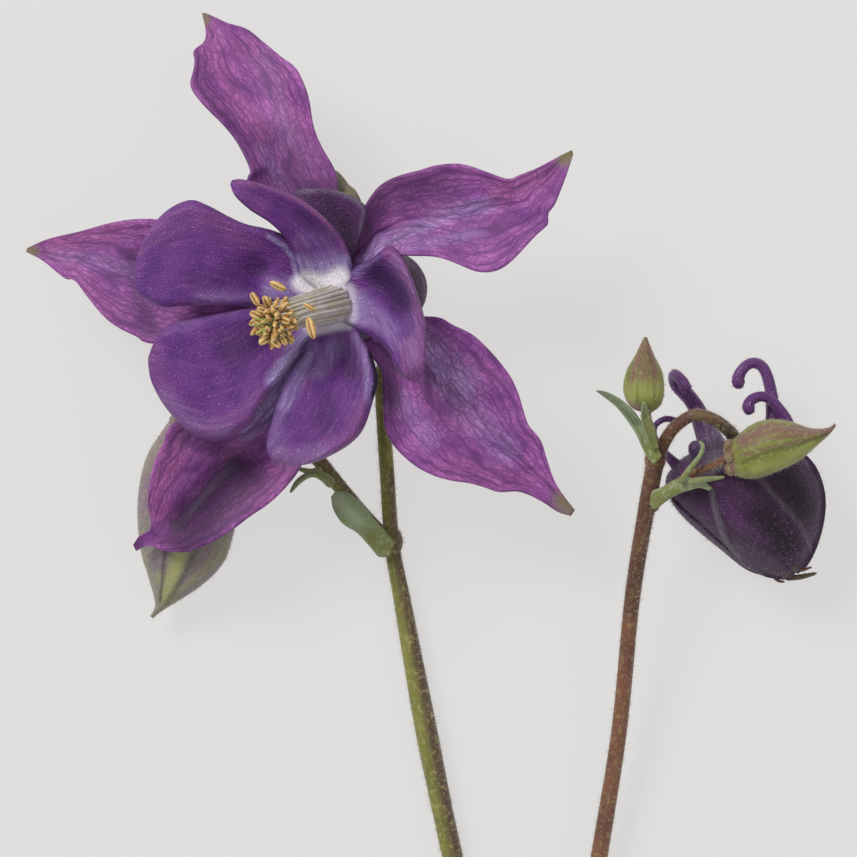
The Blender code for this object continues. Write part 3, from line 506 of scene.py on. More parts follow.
sepals = {
    "sepal_top": {
        "foot": 122,
        "left": [(252, 190), (252, 170), (239, 143), (225, 125), (210, 110), (196, 94),
                 (191, 83), (194, 70), (195, 60), (194, 50), (204, 42), (206, 30), (202, 13)],
        "right": [(330, 220), (337, 192), (334, 170), (321, 146), (313, 126), (308, 100),
                  (302, 82), (294, 67), (280, 56), (262, 41), (246, 29), (226, 23), (206, 13)],
        "heights": (14.4, 15.0, 14.7, 13.9, 13.0, 12.4),
        "lifts": ((0, 0.8, 1.6, 1.6, 0.8, 0), (0, 0.2, 0.6, 1.0, 0.6, 0)),
        "ripple": (0.35, 3.0),
        # Its broad dark strokes paint shade on the folded left strip and at the base under
        # petal_top, and its pale strokes are painted highlight.
        "marks": [("warm", 0.5, 8, [(208, 25), (215, 60), (235, 97), (263, 134)]),
                  ("warm", 0.35, 12, [(240, 45), (275, 80), (298, 130)]),
                  ("dark", 0.35, 8, [(202, 60), (203, 88), (226, 118), (244, 150)]),
                  ("dark", 0.5, 12, [(262, 178), (300, 190), (325, 185)]),
                  ("dark", 0.4, 20, [(270, 145), (305, 168)]),
                  ("pale", 0.3, 6, [(262, 150), (280, 180)]),
                  ("pale", 0.22, 8, [(262, 60), (282, 110), (290, 140)]),
                  ("green", 0.7, 5, [(203, 12), (205, 20)])],
    },
    "sepal_left": {
        "foot": 181,
        "left": [(258, 312), (210, 342), (151, 343), (136, 336), (118, 327), (103, 315),
                 (87, 296), (74, 280), (64, 278), (43, 261), (26, 252)],
        "right": [(258, 246), (200, 224), (156, 220), (130, 220), (106, 224), (78, 232),
                  (49, 239), (27, 248)],
        "heights": (14.2, 13.7, 12.8, 11.9, 10.9, 10.0),
        "lifts": ((0, 0.5, 1.0, 0.8, 0.3, 0), (0, 0.5, 0.9, 0.9, 0.4, 0)),
        "ripple": (0.3, 3.0),
        # Its pale stroke is painted highlight along the midrib and its broad dark stroke is painted
        # shade. The thin dark stroke is the midrib line.
        "marks": [("pale", 0.3, 7, [(56, 254), (100, 262), (140, 275)]),
                  ("warm", 0.6, 10, [(50, 247), (110, 232)]),
                  ("warm", 0.3, 10, [(80, 275), (115, 310)]),
                  ("dark", 0.45, 8, [(134, 258), (140, 300), (152, 330)]),
                  ("dark", 0.35, 1.6, [(30, 250), (80, 257), (140, 273)]),
                  ("green", 0.7, 6, [(26, 250), (32, 251)])],
    },
    "sepal_upper_right": {
        "foot": 62,
        "left": [(349, 262), (355, 240), (362, 215), (375, 193), (386, 183), (401, 176), (419, 171),
                 (436, 166), (460, 165), (485, 173), (507, 180), (521, 175), (536, 169),
                 (549, 162), (562, 155), (572, 150)],
        "right": [(356, 272), (372, 261), (389, 250), (403, 254), (433, 256), (448, 260),
                  (463, 266),
                  (477, 271), (492, 271), (504, 266), (516, 256), (535, 236), (548, 224),
                  (547, 215), (554, 205), (560, 190), (566, 174), (573, 154)],
        "heights": (14.6, 15.4, 16.2, 16.8, 17.3, 17.8),
        "lifts": ((0, 0.6, 1.2, 1.2, 0.6, 0), (0, 0.4, 0.8, 0.8, 0.4, 0)),
        "ripple": (0.4, 3.0), "midrib": 0.5,
        # Its pale strokes are painted highlight along the midrib and at the base, and its broad
        # dark strokes are painted shade near the base. The thin dark stroke is the midrib line.
        "marks": [("pale", 0.55, 7, [(375, 246), (410, 232), (455, 212), (490, 204)]),
                  ("pale", 0.35, 6, [(400, 248), (450, 238), (480, 232)]),
                  ("pale", 0.8, 5, [(354, 266), (378, 250)]),
                  ("warm", 0.5, 12, [(500, 195), (545, 172)]),
                  ("dark", 0.45, 1.5, [(385, 246), (420, 226), (448, 211), (492, 199),
                                       (536, 178), (572, 152)]),
                  ("dark", 0.6, 14, [(378, 203), (362, 236)]),
                  ("dark", 0.42, 18, [(400, 195), (440, 188)]),
                  ("green", 0.8, 7, [(573, 151), (565, 158)])],
    },
    "sepal_lower_right": {
        "foot": -45,
        "left": [(404, 318), (424, 317), (440, 318), (452, 325), (470, 334), (484, 346),
                 (499, 362), (511, 378), (518, 394), (523, 412), (528, 426), (540, 441),
                 (546, 458), (553, 478), (561, 492), (575, 510)],
        "right": [(362, 340), (379, 365), (383, 373), (384, 400), (385, 426), (391, 441),
                  (402, 454), (417, 466), (435, 475), (452, 480), (470, 483), (484, 487),
                  (499, 492), (517, 491), (531, 495), (546, 503), (559, 512), (571, 516)],
        "heights": (14.6, 15.2, 15.5, 15.2, 14.4, 13.4),
        "lifts": ((0, 0.6, 1.0, 1.0, 0.5, 0), (0, 0.6, 1.0, 1.0, 0.5, 0)),
        "ripple": (0.4, 3.0), "midrib": 0.4,
        # Its pale strokes are painted highlight. The thin dark stroke is the midrib line, and the
        # broad dark stroke at the base paints the shade under the petals.
        "marks": [("pale", 0.6, 16, [(420, 345), (460, 385)]),
                  ("pale", 0.35, 12, [(460, 400), (505, 450)]),
                  ("pale", 0.3, 9, [(400, 400), (430, 440)]),
                  ("warm", 0.35, 12, [(450, 470), (520, 480)]),
                  ("dark", 0.4, 1.5, [(400, 345), (424, 372), (473, 406), (502, 438),
                                      (546, 483), (575, 512)]),
                  ("dark", 0.6, 9, [(388, 350), (392, 400)]),
                  ("green", 0.65, 9, [(573, 512), (562, 502)])],
    },
    "sepal_lower_left": {
        "foot": 237,
        "left": [(320, 385), (308, 440), (300, 466), (284, 488), (267, 504), (249, 516),
                 (229, 531), (214, 540), (199, 547), (185, 552), (165, 551), (149, 545),
                 (141, 548), (136, 551)],
        "right": [(285, 360), (262, 380), (220, 400), (174, 424), (164, 444), (155, 462),
                  (150, 482), (148, 503), (151, 523), (149, 532), (139, 537), (133, 545)],
        "heights": (14.3, 13.4, 12.5, 11.9, 11.4, 9.4),
        "lifts": ((0, 0.8, 1.8, 2.2, 1.4, 0), (0, 0.8, 1.8, 2.2, 1.4, 0)),
        "fold": 1.25, "ripple": (0.3, 3.0),
        "hollows": ((236, 458, 15, 0.6), (226, 470, 15, 0.7), (215, 482, 15, 0.8),
                    (204, 494, 15, 0.8), (194, 507, 15, 0.75), (184, 519, 14, 0.65)),
        # The strong pale strokes lighten the lavender strip that the petals overhang with painted
        # light, and the broad dark strokes along the trough paint its shade.
        "marks": [("pale", 1.0, 14, [(262, 412), (285, 392), (310, 350)]),
                  ("pale", 0.7, 8, [(248, 432), (262, 418)]),
                  ("dark", 0.93, 13, [(234, 466), (205, 500), (180, 526)]),
                  ("dark", 0.8, 20, [(240, 476), (212, 510), (185, 535)]),
                  ("dark", 0.45, 10, [(182, 432), (215, 445)]),
                  ("warm", 0.7, 10, [(175, 452), (164, 480), (158, 510)]),
                  ("warm", 0.4, 10, [(285, 470), (250, 505)]),
                  ("dark", 0.6, 5, [(138, 545), (134, 546)])],
    },
}


def makeSepals():
    for node, shape in sepals.items():
        one, other = footPixels(bloom["seat"], shape["foot"], bloom["clawReach"],
                                bloom["clawHalfWidth"])
        neckOne, neckOther = footPixels(bloom["seat"], shape["foot"],
                                        bloom["neckReach"] * bloom["clawReach"],
                                        bloom["neckHalfWidth"] * bloom["clawHalfWidth"])
        place = sheetPlace(shape, [one, neckOne] + shape["left"],
                           [other, neckOther] + shape["right"], bloom["edgeSteps"])
        piece = shapedGrid("visual_" + node, *bloom["sepalGrid"], place)
        brushMarks(piece, shape["marks"])
        useModifier(piece, "SOLIDIFY", thickness=bloom["sheetThickness"] * mm, offset=-1.0)
        handOver(piece, finishes["sepal"], [node])


petals = {
    "petal_upper_left": {
        "foot": 150,
        "left": [(292, 302), (272, 303), (250, 306), (218, 305), (185, 306), (163, 307),
                 (148, 301), (137, 292), (134, 276)],
        "right": [(304, 276), (304, 256), (293, 240), (272, 230), (246, 224), (228, 216),
                  (207, 205), (189, 200), (166, 211), (148, 232), (137, 256), (134, 272)],
        "heights": (18.0, 17.9, 19.0, 20.4, 21.3, 21.6),
        "lifts": ((0, 0.9, 1.0, 0.5, 0, 0), (0, 1.6, 1.9, 1.0, 0, 0)),
        "fold": 1.7, "rimDrop": 0.9, "ripple": (0.35, 3.0), "hollows": ((258, 270, 18, 1.1),),
        "spur": (152, 4, 1.0, 1.15),
        # The thin pale stroke on the right edge is a painted highlight, and the crisp dark stroke
        # beside it paints the shadow of petal_top. The other dark strokes paint shade in the hollow
        # and along the fold.
        "marks": [("pale", 1.2, 2, [(268, 236), (284, 246), (293, 258), (296, 277)]),
                  ("dark", 2.0, 3, [(280, 231), (294, 241), (301, 254), (303, 268)]),
                  ("pale", 0.7, 9, [(272, 290), (288, 288)]),
                  ("green", 1.0, 7, [(300, 283), (312, 290)]),
                  ("dark", 0.5, 6, [(262, 268), (250, 270)]),
                  ("warm", 0.5, 12, [(162, 230), (190, 215), (225, 226), (250, 236)]),
                  ("warm", 0.3, 4, [(136, 285), (139, 258), (150, 233)]),
                  ("pale", 0.25, 7, [(200, 298), (250, 298)]),
                  ("dark", 0.3, 10, [(200, 280), (240, 278)])],
    },
    "petal_lower_left": {
        "foot": 208,
        "left": [(304, 344), (298, 355), (285, 373), (272, 390), (261, 405), (248, 425),
                 (233, 435), (218, 441), (202, 439), (185, 429), (174, 418), (161, 401),
                 (151, 381), (148, 364)],
        "right": [(284, 306), (250, 308), (207, 316), (192, 319), (174, 322), (161, 331),
                  (153, 344), (148, 358)],
        "heights": (17.8, 18.5, 19.6, 20.4, 20.9, 21.0),
        "lifts": ((0, 0.9, 1.0, 0.5, 0, 0), (0, 0.8, 0.9, 0.5, 0, 0)),
        "fold": 1.8, "rimDrop": 1.3, "ripple": (0.35, 3.0), "hollows": ((268, 328, 15, 0.9),),
        "spur": (208, 4, 1.0, 1.15),
        "marks": [("warm", 0.5, 9, [(154, 352), (160, 385), (180, 415), (208, 432),
                                    (240, 422), (262, 396)]),
                  ("pale", 0.22, 7, [(165, 395), (190, 422), (225, 430)]),
                  # Painted highlight along the right edge.
                  ("pale", 0.9, 6, [(302, 336), (290, 355), (272, 380)]),
                  ("green", 0.9, 7, [(306, 318), (312, 326)]),
                  ("pale", 0.5, 8, [(265, 311), (290, 314)]),
                  # Painted shade along the middle fold.
                  ("dark", 0.45, 12, [(262, 338), (230, 350)]),
                  ("pale", 0.15, 5, [(165, 330), (207, 318), (255, 310)])],
    },
    "petal_bottom": {
        "foot": 272,
        "left": [(362, 336), (369, 348), (375, 364), (378, 380), (374, 398), (364, 428),
                 (350, 444), (328, 457), (309, 464), (294, 466), (284, 465)],
        "right": [(309, 345), (294, 368), (281, 394), (272, 420), (266, 444), (270, 457),
                  (278, 463)],
        "heights": (17.8, 18.9, 20.2, 21.3, 22.0, 22.2),
        "lifts": ((0, 0.8, 0.9, 0.5, 0, 0), (0, 0.8, 0.9, 0.5, 0, 0)),
        "fold": 1.8, "rimDrop": 1.2, "ripple": (0.35, 3.0), "hollows": ((332, 362, 15, 0.9),),
        "spur": (276, -40, 0.85, 0.8),
        "marks": [("pale", 0.5, 4, [(356, 336), (364, 352), (368, 375), (369, 400)]),
                  # The crisp dark stroke paints the shadow between this petal and
                  # sepal_lower_right.
                  ("dark", 2.2, 3, [(372, 352), (377, 370), (378, 384), (375, 396)]),
                  ("warm", 0.7, 10, [(366, 408), (352, 436), (318, 458), (280, 460)]),
                  ("pale", 0.3, 8, [(276, 420), (270, 448), (290, 460), (320, 452)]),
                  # Painted sheen on the left of the blade.
                  ("pale", 0.6, 7, [(310, 348), (296, 380), (284, 405)]),
                  ("green", 0.75, 4.5, [(316, 330), (334, 326), (348, 324)]),
                  ("pale", 0.5, 8, [(335, 345), (318, 370)]),
                  # Painted shade by the hollow where the spur opens.
                  ("dark", 0.5, 8, [(345, 345), (352, 372)]),
                  ("dark", 0.3, 9, [(330, 400), (322, 425)])],
    },
    "petal_right": {
        "foot": 2, "reach": -0.3,
        "left": [(350, 268), (360, 264), (372, 258), (382, 250), (390, 246), (400, 253),
                 (411, 275), (420, 301), (425, 321), (426, 344), (425, 366), (421, 378)],
        "right": [(362, 333), (376, 341), (389, 353), (395, 366), (404, 377), (414, 383)],
        "heights": (18.4, 18.9, 20.4, 22.6, 24.0, 24.6),
        "lifts": ((0, 1.8, 2.4, 2.2, 1.0, 0), (0, 0.8, 1.2, 1.2, 0.6, 0)),
        "fold": 1.6, "rimDrop": 1.6, "hollows": ((384, 288, 15, 1.1),),
        "spurStations": ((372, 288, 16.6), (390, 270, 16.4), (404, 266, 15.2),
                         (415, 275, 14.2), (420, 288, 13.4), (418, 303, 12.6),
                         (408, 314, 12.0)),
        "marks": [("warm", 2.5, 4.5, [(386, 249), (401, 264), (413, 288), (421, 318),
                                      (423, 350), (416, 378)]),
                  ("warm", 2.5, 8, [(412, 348), (413, 368)]),
                  ("pale", 0.22, 6, [(396, 262), (412, 300), (414, 362)]),
                  # Painted shade in the hollow where the spur opens.
                  ("dark", 0.75, 11, [(378, 272), (394, 288), (402, 302)]),
                  ("green", 0.95, 7, [(336, 282), (342, 300), (337, 318)]),
                  ("green", 0.5, 6, [(348, 290), (350, 318)]),
                  ("pale", 0.7, 9, [(356, 300), (362, 318)]),
                  ("pale", 0.55, 8, [(368, 308), (390, 330)]),
                  ("pale", 0.35, 6, [(385, 330), (398, 345)]),
                  ("pale", 0.35, 4, [(356, 274), (375, 258)])],
    },
    "petal_top": {
        "foot": 86,
        "left": [(303, 278), (298, 268), (294, 253), (285, 238), (270, 223), (250, 210),
                 (235, 196), (230, 184)],
        "right": [(352, 264), (350, 255), (341, 236), (326, 219), (304, 201), (281, 190),
                  (259, 183), (241, 179), (232, 180)],
        "heights": (18.4, 19.6, 21.4, 23.2, 24.8, 26.0),
        "lifts": ((0, 1.0, 1.4, 1.0, 0.4, 0), (0, 1.0, 1.6, 1.2, 0.4, 0)),
        "fold": 1.7, "rimDrop": 0.9, "ripple": (0.25, 2.0),
        "spur": (91, 50, 1.46, 0.8),
        "marks": [("green", 1.1, 8, [(303, 281), (325, 284), (340, 277)]),
                  ("pale", 0.9, 7, [(302, 262), (312, 268), (345, 262)]),
                  ("pale", 0.5, 9, [(318, 262), (335, 258)]),
                  ("pale", 0.22, 9, [(305, 240), (325, 240)]),
                  ("warm", 2.0, 2.2, [(238, 181), (262, 186), (281, 192), (304, 204),
                                     (326, 222), (341, 239), (350, 256)]),
                  ("warm", 0.35, 9, [(242, 190), (262, 205)]),
                  ("dark", 0.3, 7, [(300, 215), (330, 236)])],
    },
}
spurRoute = {
    "stations": ((6.3, -1.6), (7.6, -3.4), (8.8, -5.8), (8.9, -8.8), (7.7, -11.2),
                 (6.0, -11.6), (5.2, -10.4)),  # out from the axis and forward of the seat, mm
    "radii": (1.2, 1.4, 1.25, 1.1, 0.9, 0.75, 0.65, 0.75),
    "ribs": 7,
    "ribHeight": 0.05,
    "clearance": 0.1,
    "mouthAt": 0.08,
    "mouthDepth": 2.2,
    "sides": 28,
    "steps": 48,
    "marks": [("green", 0.8, 22, [(345, 185), (330, 160)]), ("pale", 0.3, 12, [(422, 290)])],
}
shoulder = {
    "left": [(338, 276), (331, 240), (306, 214), (294, 199), (294, 191)],
    "right": [(351, 272), (360, 240), (367, 215), (365, 205), (350, 195), (329, 189), (302, 188)],
    "heights": (17.2, 17.4, 17.9, 18.2),
    "lifts": ((0, 0.3, 0.3, 0), (0, 0.3, 0.3, 0)),
    "rimDrop": 0.8,
    "grid": (24, 36),
    # The dark stroke adds more painted shade on the back wall. The pale line along its top and
    # right edges is its grey down.
    "marks": [("dark", 0.5, 9, [(350, 255), (348, 228), (330, 212)]),
              ("pale", 0.5, 3, [(296, 190), (330, 190), (352, 197), (366, 208), (362, 235)])],
}


def bloomPoint(degrees, reach, rise):
    angle = math.radians(degrees)
    level = Vector((math.cos(angle), math.sin(angle), 0))
    axis = bloom["axis"]
    out = (level - axis * level.dot(axis)).normalized()
    return toFrame(*bloom["seat"], bloom["seatHeight"]) + (out * reach + axis * rise) * mm


endBluntness = 0.04  # least share of the radius, squared, at a rounded end


# A tube along a smooth route: radii in mm spread along it, with low lengthwise ribs.
def tubePlace(route, radii, steps, ribs=0, ribHeight=0.0, rounded=True):
    path = evenAlong(route, steps)
    length = sum((b - a).length for a, b in zip(path, path[1:])) / mm
    frames, across = [], None
    for index in range(steps + 1):
        ahead, behind = path[min(index + 1, steps)], path[max(index - 1, 0)]
        along = (ahead - behind).normalized()
        if across is None:
            across = along.cross(Vector((0, 0, 1))).normalized()
        across = (across - along * across.dot(along)).normalized()
        frames.append((path[index], across, across.cross(along)))

    def place(u, v):
        centre, side, over = frames[round(v * steps)]
        turn = 2 * math.pi * u
        radius = curveThrough(radii, v) * (1 + ribHeight * math.cos(ribs * turn)) * mm
        for toEnd, endRadius in ((v * length, radii[0]), ((1 - v) * length, radii[-1])):
            if rounded and toEnd < endRadius:  # the last stretch rounds off like a ball
                radius *= math.sqrt(max(endBluntness, 1 - (1 - toEnd / endRadius) ** 2))
        return centre + side * math.cos(turn) * radius + over * math.sin(turn) * radius

    return place


def makeTube(name, route, radii, sides, steps, *ribs, rounded=True):
    place = tubePlace(route, radii, steps, *ribs, rounded=rounded)
    return shapedGrid(name, sides, steps, place, closed=True)


def makePetals():
    for node, shape in petals.items():
        one, other = footPixels(bloom["throat"], shape["foot"],
                                shape.get("reach", bloom["petalReach"]),
                                bloom["petalHalfWidth"])
        place = sheetPlace(shape, [one] + shape["left"], [other] + shape["right"],
                           bloom["edgeSteps"])
        piece = shapedGrid("visual_" + node, *bloom["petalGrid"], place)
        brushMarks(piece, shape["marks"])
        useModifier(piece, "SOLIDIFY", thickness=bloom["sheetThickness"] * mm, offset=-1.0)
        piece.data.materials.append(finishes["petal"])
        if "spurStations" in shape:
            route = routeOf(shape["spurStations"])
        else:
            degrees, turn, reach, depth = shape["spur"]
            mouth = ((one + other) / 2).lerp((Vector(shape["left"][0])
                                              + Vector(shape["right"][0])) / 2, 0.5)
            rim = curveThrough(shape["heights"], spurRoute["mouthAt"])
            route = [toFrame(mouth.x, mouth.y, rim - spurRoute["mouthDepth"])]
            for index, (out, rise) in enumerate(spurRoute["stations"]):
                angle = degrees + turn * index / (len(spurRoute["stations"]) - 1)
                route.append(bloomPoint(angle, out * reach, rise * depth))
        for index, point in enumerate(route):
            lowest = curveThrough(spurRoute["radii"], index / (len(route) - 1))
            point.z = max(point.z, (lowest + spurRoute["clearance"]) * mm)
        spur = makeTube(node + "_spur", route, spurRoute["radii"], spurRoute["sides"],
                        spurRoute["steps"], spurRoute["ribs"], spurRoute["ribHeight"])
        brushMarks(spur, spurRoute["marks"])
        spur.data.materials.append(finishes["spur"])
        extras = [spur]
        if node == "petal_top":
            back = shapedGrid("shoulder", *shoulder["grid"],
                              sheetPlace(shoulder, shoulder["left"], shoulder["right"],
                                         shoulder["grid"][1]))
            brushMarks(back, shoulder["marks"])
            useModifier(back, "SOLIDIFY", thickness=bloom["sheetThickness"] * mm, offset=-1.0)
            back.data.materials.append(finishes["shoulder"])
            extras.append(back)
        joinInto(piece, extras)
        handOver(piece, None, [node])


column = {
    "root": ((339, 302), 17.2),
    "middle": ((319, 307), 20.9),
    "tip": ((292, 314), 24.4),
    "rootRadius": 2.0,
    "tipRadius": 1.7,
    "filaments": 84,
    "filamentRadius": 0.19,
    "filamentTaper": (1.25, 1.0, 1.0, 0.7),
    "goldenTurn": 2.39996,         # radians that spread points evenly over a disc
    "headReach": 2.2,
    "headRun": (0.2, 1.2),
    "anthers": 56,
    "antherLength": 1.75,
    "antherWidth": 0.86,
    "antherDepth": 0.8,            # share of its width
    "antherSizes": (0.8, 1.15),
    "antherLean": 0.55,
    "antherTwist": 6.28,
    "strayTwist": 1.2,
    "clusterCentre": ((275, 322), 25.7),
    "clusterReach": (1.6, 2.45),
    "clusterSpread": 118,
    "strays": (((278, 286), 26.8, 155, 2.0, 0.85), ((309, 307), 26.6, 150, 1.5, 0.6),
               ((311, 328), 26.4, 105, 2.5, 1.0), ((255, 299), 26.6, 120, 1.7, 0.85)),
    "styles": 5,
    "styleReach": (0.3, 0.3, 0.5, 0.95),
    "styleRun": (0.0, 0.0, 1.5, 3.0),
    "styleRadii": (0.3, 0.26, 0.2, 0.14),
}


def antherAt(name, centre, direction, length, width, twist):
    bpy.ops.object.select_all(action="DESELECT")
    bpy.ops.mesh.primitive_ico_sphere_add(subdivisions=3, radius=0.5)
    sac = bpy.context.object
    sac.name = name
    turn = direction.to_track_quat("Z", "X")
    rim = sac.data.attributes.new("pale", "FLOAT", "POINT")
    furrow = sac.data.attributes.new("dark", "FLOAT", "POINT")
    for vertex in sac.data.vertices:
        x, y, z = vertex.co
        groove = math.exp(-(x / 0.1) ** 2)
        bulge = 1 - 0.35 * groove * (1 if y > 0 else 0.6)
        rim.data[vertex.index].value = 0.85 * math.exp(-((abs(x) - 0.24) / 0.08) ** 2)
        furrow.data[vertex.index].value = 0.9 * groove * (1 - (2 * z) ** 4)
        flat = Vector((x * width, y * width * column["antherDepth"] * bulge, z * length))
        spun = Vector((flat.x * math.cos(twist) - flat.y * math.sin(twist),
                       flat.x * math.sin(twist) + flat.y * math.cos(twist), flat.z))
        vertex.co = centre + turn @ (spun * mm)
    bpy.ops.object.shade_smooth()
    return sac


def makeColumn():
    random.seed(7)
    root = toFrame(*column["root"][0], column["root"][1])
    middle = toFrame(*column["middle"][0], column["middle"][1])
    tip = toFrame(*column["tip"][0], column["tip"][1])
    cluster = toFrame(*column["clusterCentre"][0], column["clusterCentre"][1])
    along = (tip - middle).normalized()
    across = along.cross(Vector((0, 0, 1))).normalized()
    over = across.cross(along)
    filaments, sacs = [], []
    for index in range(column["filaments"]):
        ring = math.sqrt((index + 0.5) / column["filaments"])
        turn = index * column["goldenTurn"]
        out = across * math.cos(turn) + over * math.sin(turn)
        wide, narrow = column["rootRadius"] * ring * mm, column["tipRadius"] * ring * mm
        end = cluster + out * ring * column["headReach"] * mm \
            + along * random.uniform(*column["headRun"]) * mm
        route = [root + out * wide, middle + out * (wide + narrow) / 2, tip + out * narrow, end]
        radii = [column["filamentRadius"] * share for share in column["filamentTaper"]]
        filaments.append(makeTube(f"filament_{index}", route, radii, 8, 14))
    for index in range(column["anthers"]):
        slope = math.radians(column["clusterSpread"]) * math.sqrt((index + 0.5)
                                                                  / column["anthers"])
        turn = index * column["goldenTurn"]
        out = across * math.cos(turn) + over * math.sin(turn)
        direction = along * math.cos(slope) + out * math.sin(slope)
        centre = cluster + direction * random.uniform(*column["clusterReach"]) * mm
        lean = (direction + Vector((random.uniform(-1, 1), random.uniform(-1, 1),
                                    random.uniform(-1, 1)))
                * column["antherLean"]).normalized()
        size = random.uniform(*column["antherSizes"])
        sacs.append(antherAt(f"anther_{index}", centre, lean, column["antherLength"] * size,
                             column["antherWidth"] * size,
                             random.uniform(0, column["antherTwist"])))
    for index, (spot, height, degrees, long, wide) in enumerate(column["strays"]):
        angle = math.radians(degrees)
        sacs.append(antherAt(f"stray_{index}", toFrame(*spot, height),
                             Vector((math.cos(angle), math.sin(angle), 0.1)), long, wide,
                             column["strayTwist"]))
    threads = joinInto(filaments[0], filaments[1:])
    threads.name = "visual_filaments"
    handOver(threads, finishes["filament"], [])
    heads = joinInto(sacs[0], sacs[1:])
    heads.name = "visual_anthers"
    handOver(heads, finishes["anther"], ["stamens"])
    styles = []
    for index in range(column["styles"]):
        turn = 2 * math.pi * index / column["styles"]
        out = across * math.cos(turn) + over * math.sin(turn)
        route = [start + out * reach * mm + along * run * mm for start, reach, run
                 in zip((root, tip, cluster, cluster), column["styleReach"], column["styleRun"])]
        styles.append(makeTube(f"style_{index}", route, column["styleRadii"], 8, 16))
    carpels = joinInto(styles[0], styles[1:])
    carpels.name = "visual_pistils"
    handOver(carpels, finishes["style"], ["pistils"])


# Routes of the stalk's runs: photo pixels and middle heights in mm, then radii in mm.
stalkRuns = {
    "lowerRun": ([(543, 1299, 1.25), (540, 1262, 1.25), (538, 1218, 1.25)],
                 (1.35, 1.35, 1.3), "leftStem"),
    "leftStem": ([(538, 1222, 1.25), (531, 1180, 1.3), (506, 1080, 1.4), (478, 960, 1.5),
                  (452.5, 857, 1.6), (426, 730, 1.8), (402, 600, 2.0), (392, 545, 2.2),
                  (387, 474, 2.4), (384, 430, 2.5), (382, 380, 2.8), (387, 345, 3.6),
                  (385, 318, 6.0)],
                 (1.22, 1.2, 1.18, 1.16, 1.14, 1.13, 1.2, 1.04, 0.86, 0.8, 0.78, 0.8),
                 "leftStem"),
    "rightStem": ([(538, 1222, 1.25), (546, 1180, 1.4), (563, 1080, 1.7), (581, 965, 2.1),
                   (599, 857, 2.8), (619, 731, 4.6), (632, 600, 7.6), (646, 511, 10.2),
                   (656, 458, 11.8)],
                  (1.03, 1.02, 0.98, 0.95, 0.92, 0.86, 0.85, 0.88, 0.97), "rightStem"),
    "arch": ([(655, 462, 11.6), (662, 446, 12.4), (675, 427, 13.4), (695, 415, 14.0),
              (715, 420, 13.2), (729, 431, 11.0), (734, 438, 9.0), (735, 444, 7.8)],
             (0.85, 0.7, 0.66, 0.66, 0.68, 0.72, 0.8), "rightStem"),
    "budBranch": ([(391, 547, 2.4), (368, 521, 3.4), (343, 491, 4.6), (320, 462, 5.2),
                   (284, 418, 5.8), (252, 386, 6.2), (224, 374, 6.2), (207, 384, 5.6),
                   (204, 400, 5.2)],
                  (1.0, 0.85, 0.8, 0.78, 0.72, 0.7, 0.7, 0.7), "leftStem"),
    "smallPedicel": ([(656, 458, 11.8), (653, 441, 12.6), (649, 425, 13.2), (647, 411, 13.7)],
                     (0.6, 0.42, 0.4), "rightStem"),
    "greenPedicel": ([(652, 501, 10.2), (670, 488, 11.4), (690, 476, 14.2), (725, 460, 17.3)],
                     (0.6, 0.45, 0.42), "rightStem"),
    "bloomSeat": ([(386, 322, 5.4), (374, 304, 9.6), (352, 296, 12.5), (346, 297, 15.3)],
                  (0.8, 0.85, 1.1, 1.7, 1.8), "leftStem"),
}
stalkMarks = {
    "lowerRun": [("warm", 0.95, 6, [(540, 1180), (547, 1299)])],
    "leftStem": [("warm", 0.95, 7, [(396, 474), (399, 545), (409, 600), (434, 730),
                                    (460, 857), (486, 960), (540, 1180)])],
    "rightStem": [("dark", 0.35, 14, [(632, 600), (646, 511), (656, 458)]),
                  ("warm", 0.5, 4, [(640, 600), (654, 511)])],
    "arch": [("dark", 0.3, 14, [(662, 446), (695, 415), (734, 438)]),
             ("pale", 0.35, 5, [(695, 412), (728, 428)])],
    "budBranch": [("warm", 0.8, 7, [(391, 541), (345, 480), (322, 455)])],
}
nodeSwellings = {"leftNode": ((390, 542), 2.3, 1.42), "upperNode": ((655, 460), 11.7, 1.15),
                 "lowerNode": ((651, 501), 10.1, 1.08)}


def makeStalk():
    runs = []
    for name, (stations, radii, finish) in stalkRuns.items():
        route = routeOf(stations)
        steps = max(16, 8 * len(stations))
        run = makeTube("visual_" + name, route, radii, 28, steps, 9, 0.02, rounded=False)
        brushMarks(run, stalkMarks.get(name, []))
        run.data.materials.append(finishes[finish])
        runs.append(run)
    for name, (spot, height, radius) in nodeSwellings.items():
        bpy.ops.object.select_all(action="DESELECT")
        bpy.ops.mesh.primitive_uv_sphere_add(segments=28, ring_count=18, radius=radius * mm)
        knob = bpy.context.object
        knob.name = name
        knob.data.uv_layers[0].name = "shapeMap"
        knob.data.uv_layers.new(name="sizeMap")
        centre = toFrame(*spot, height)
        for vertex in knob.data.vertices:
            vertex.co = Vector((vertex.co.x, vertex.co.y * 1.25, vertex.co.z)) + centre
        bpy.ops.object.shade_smooth()
        brushMarks(knob, stalkMarks["leftStem"])
        knob.data.materials.append(finishes["leftStem" if name == "leftNode" else "rightStem"])
        runs.append(knob)
    stalk = joinInto(runs[0], runs[1:])
    stalk.name = "visual_stalk"
    handOver(stalk, None, ["stalk"])
    return stalk


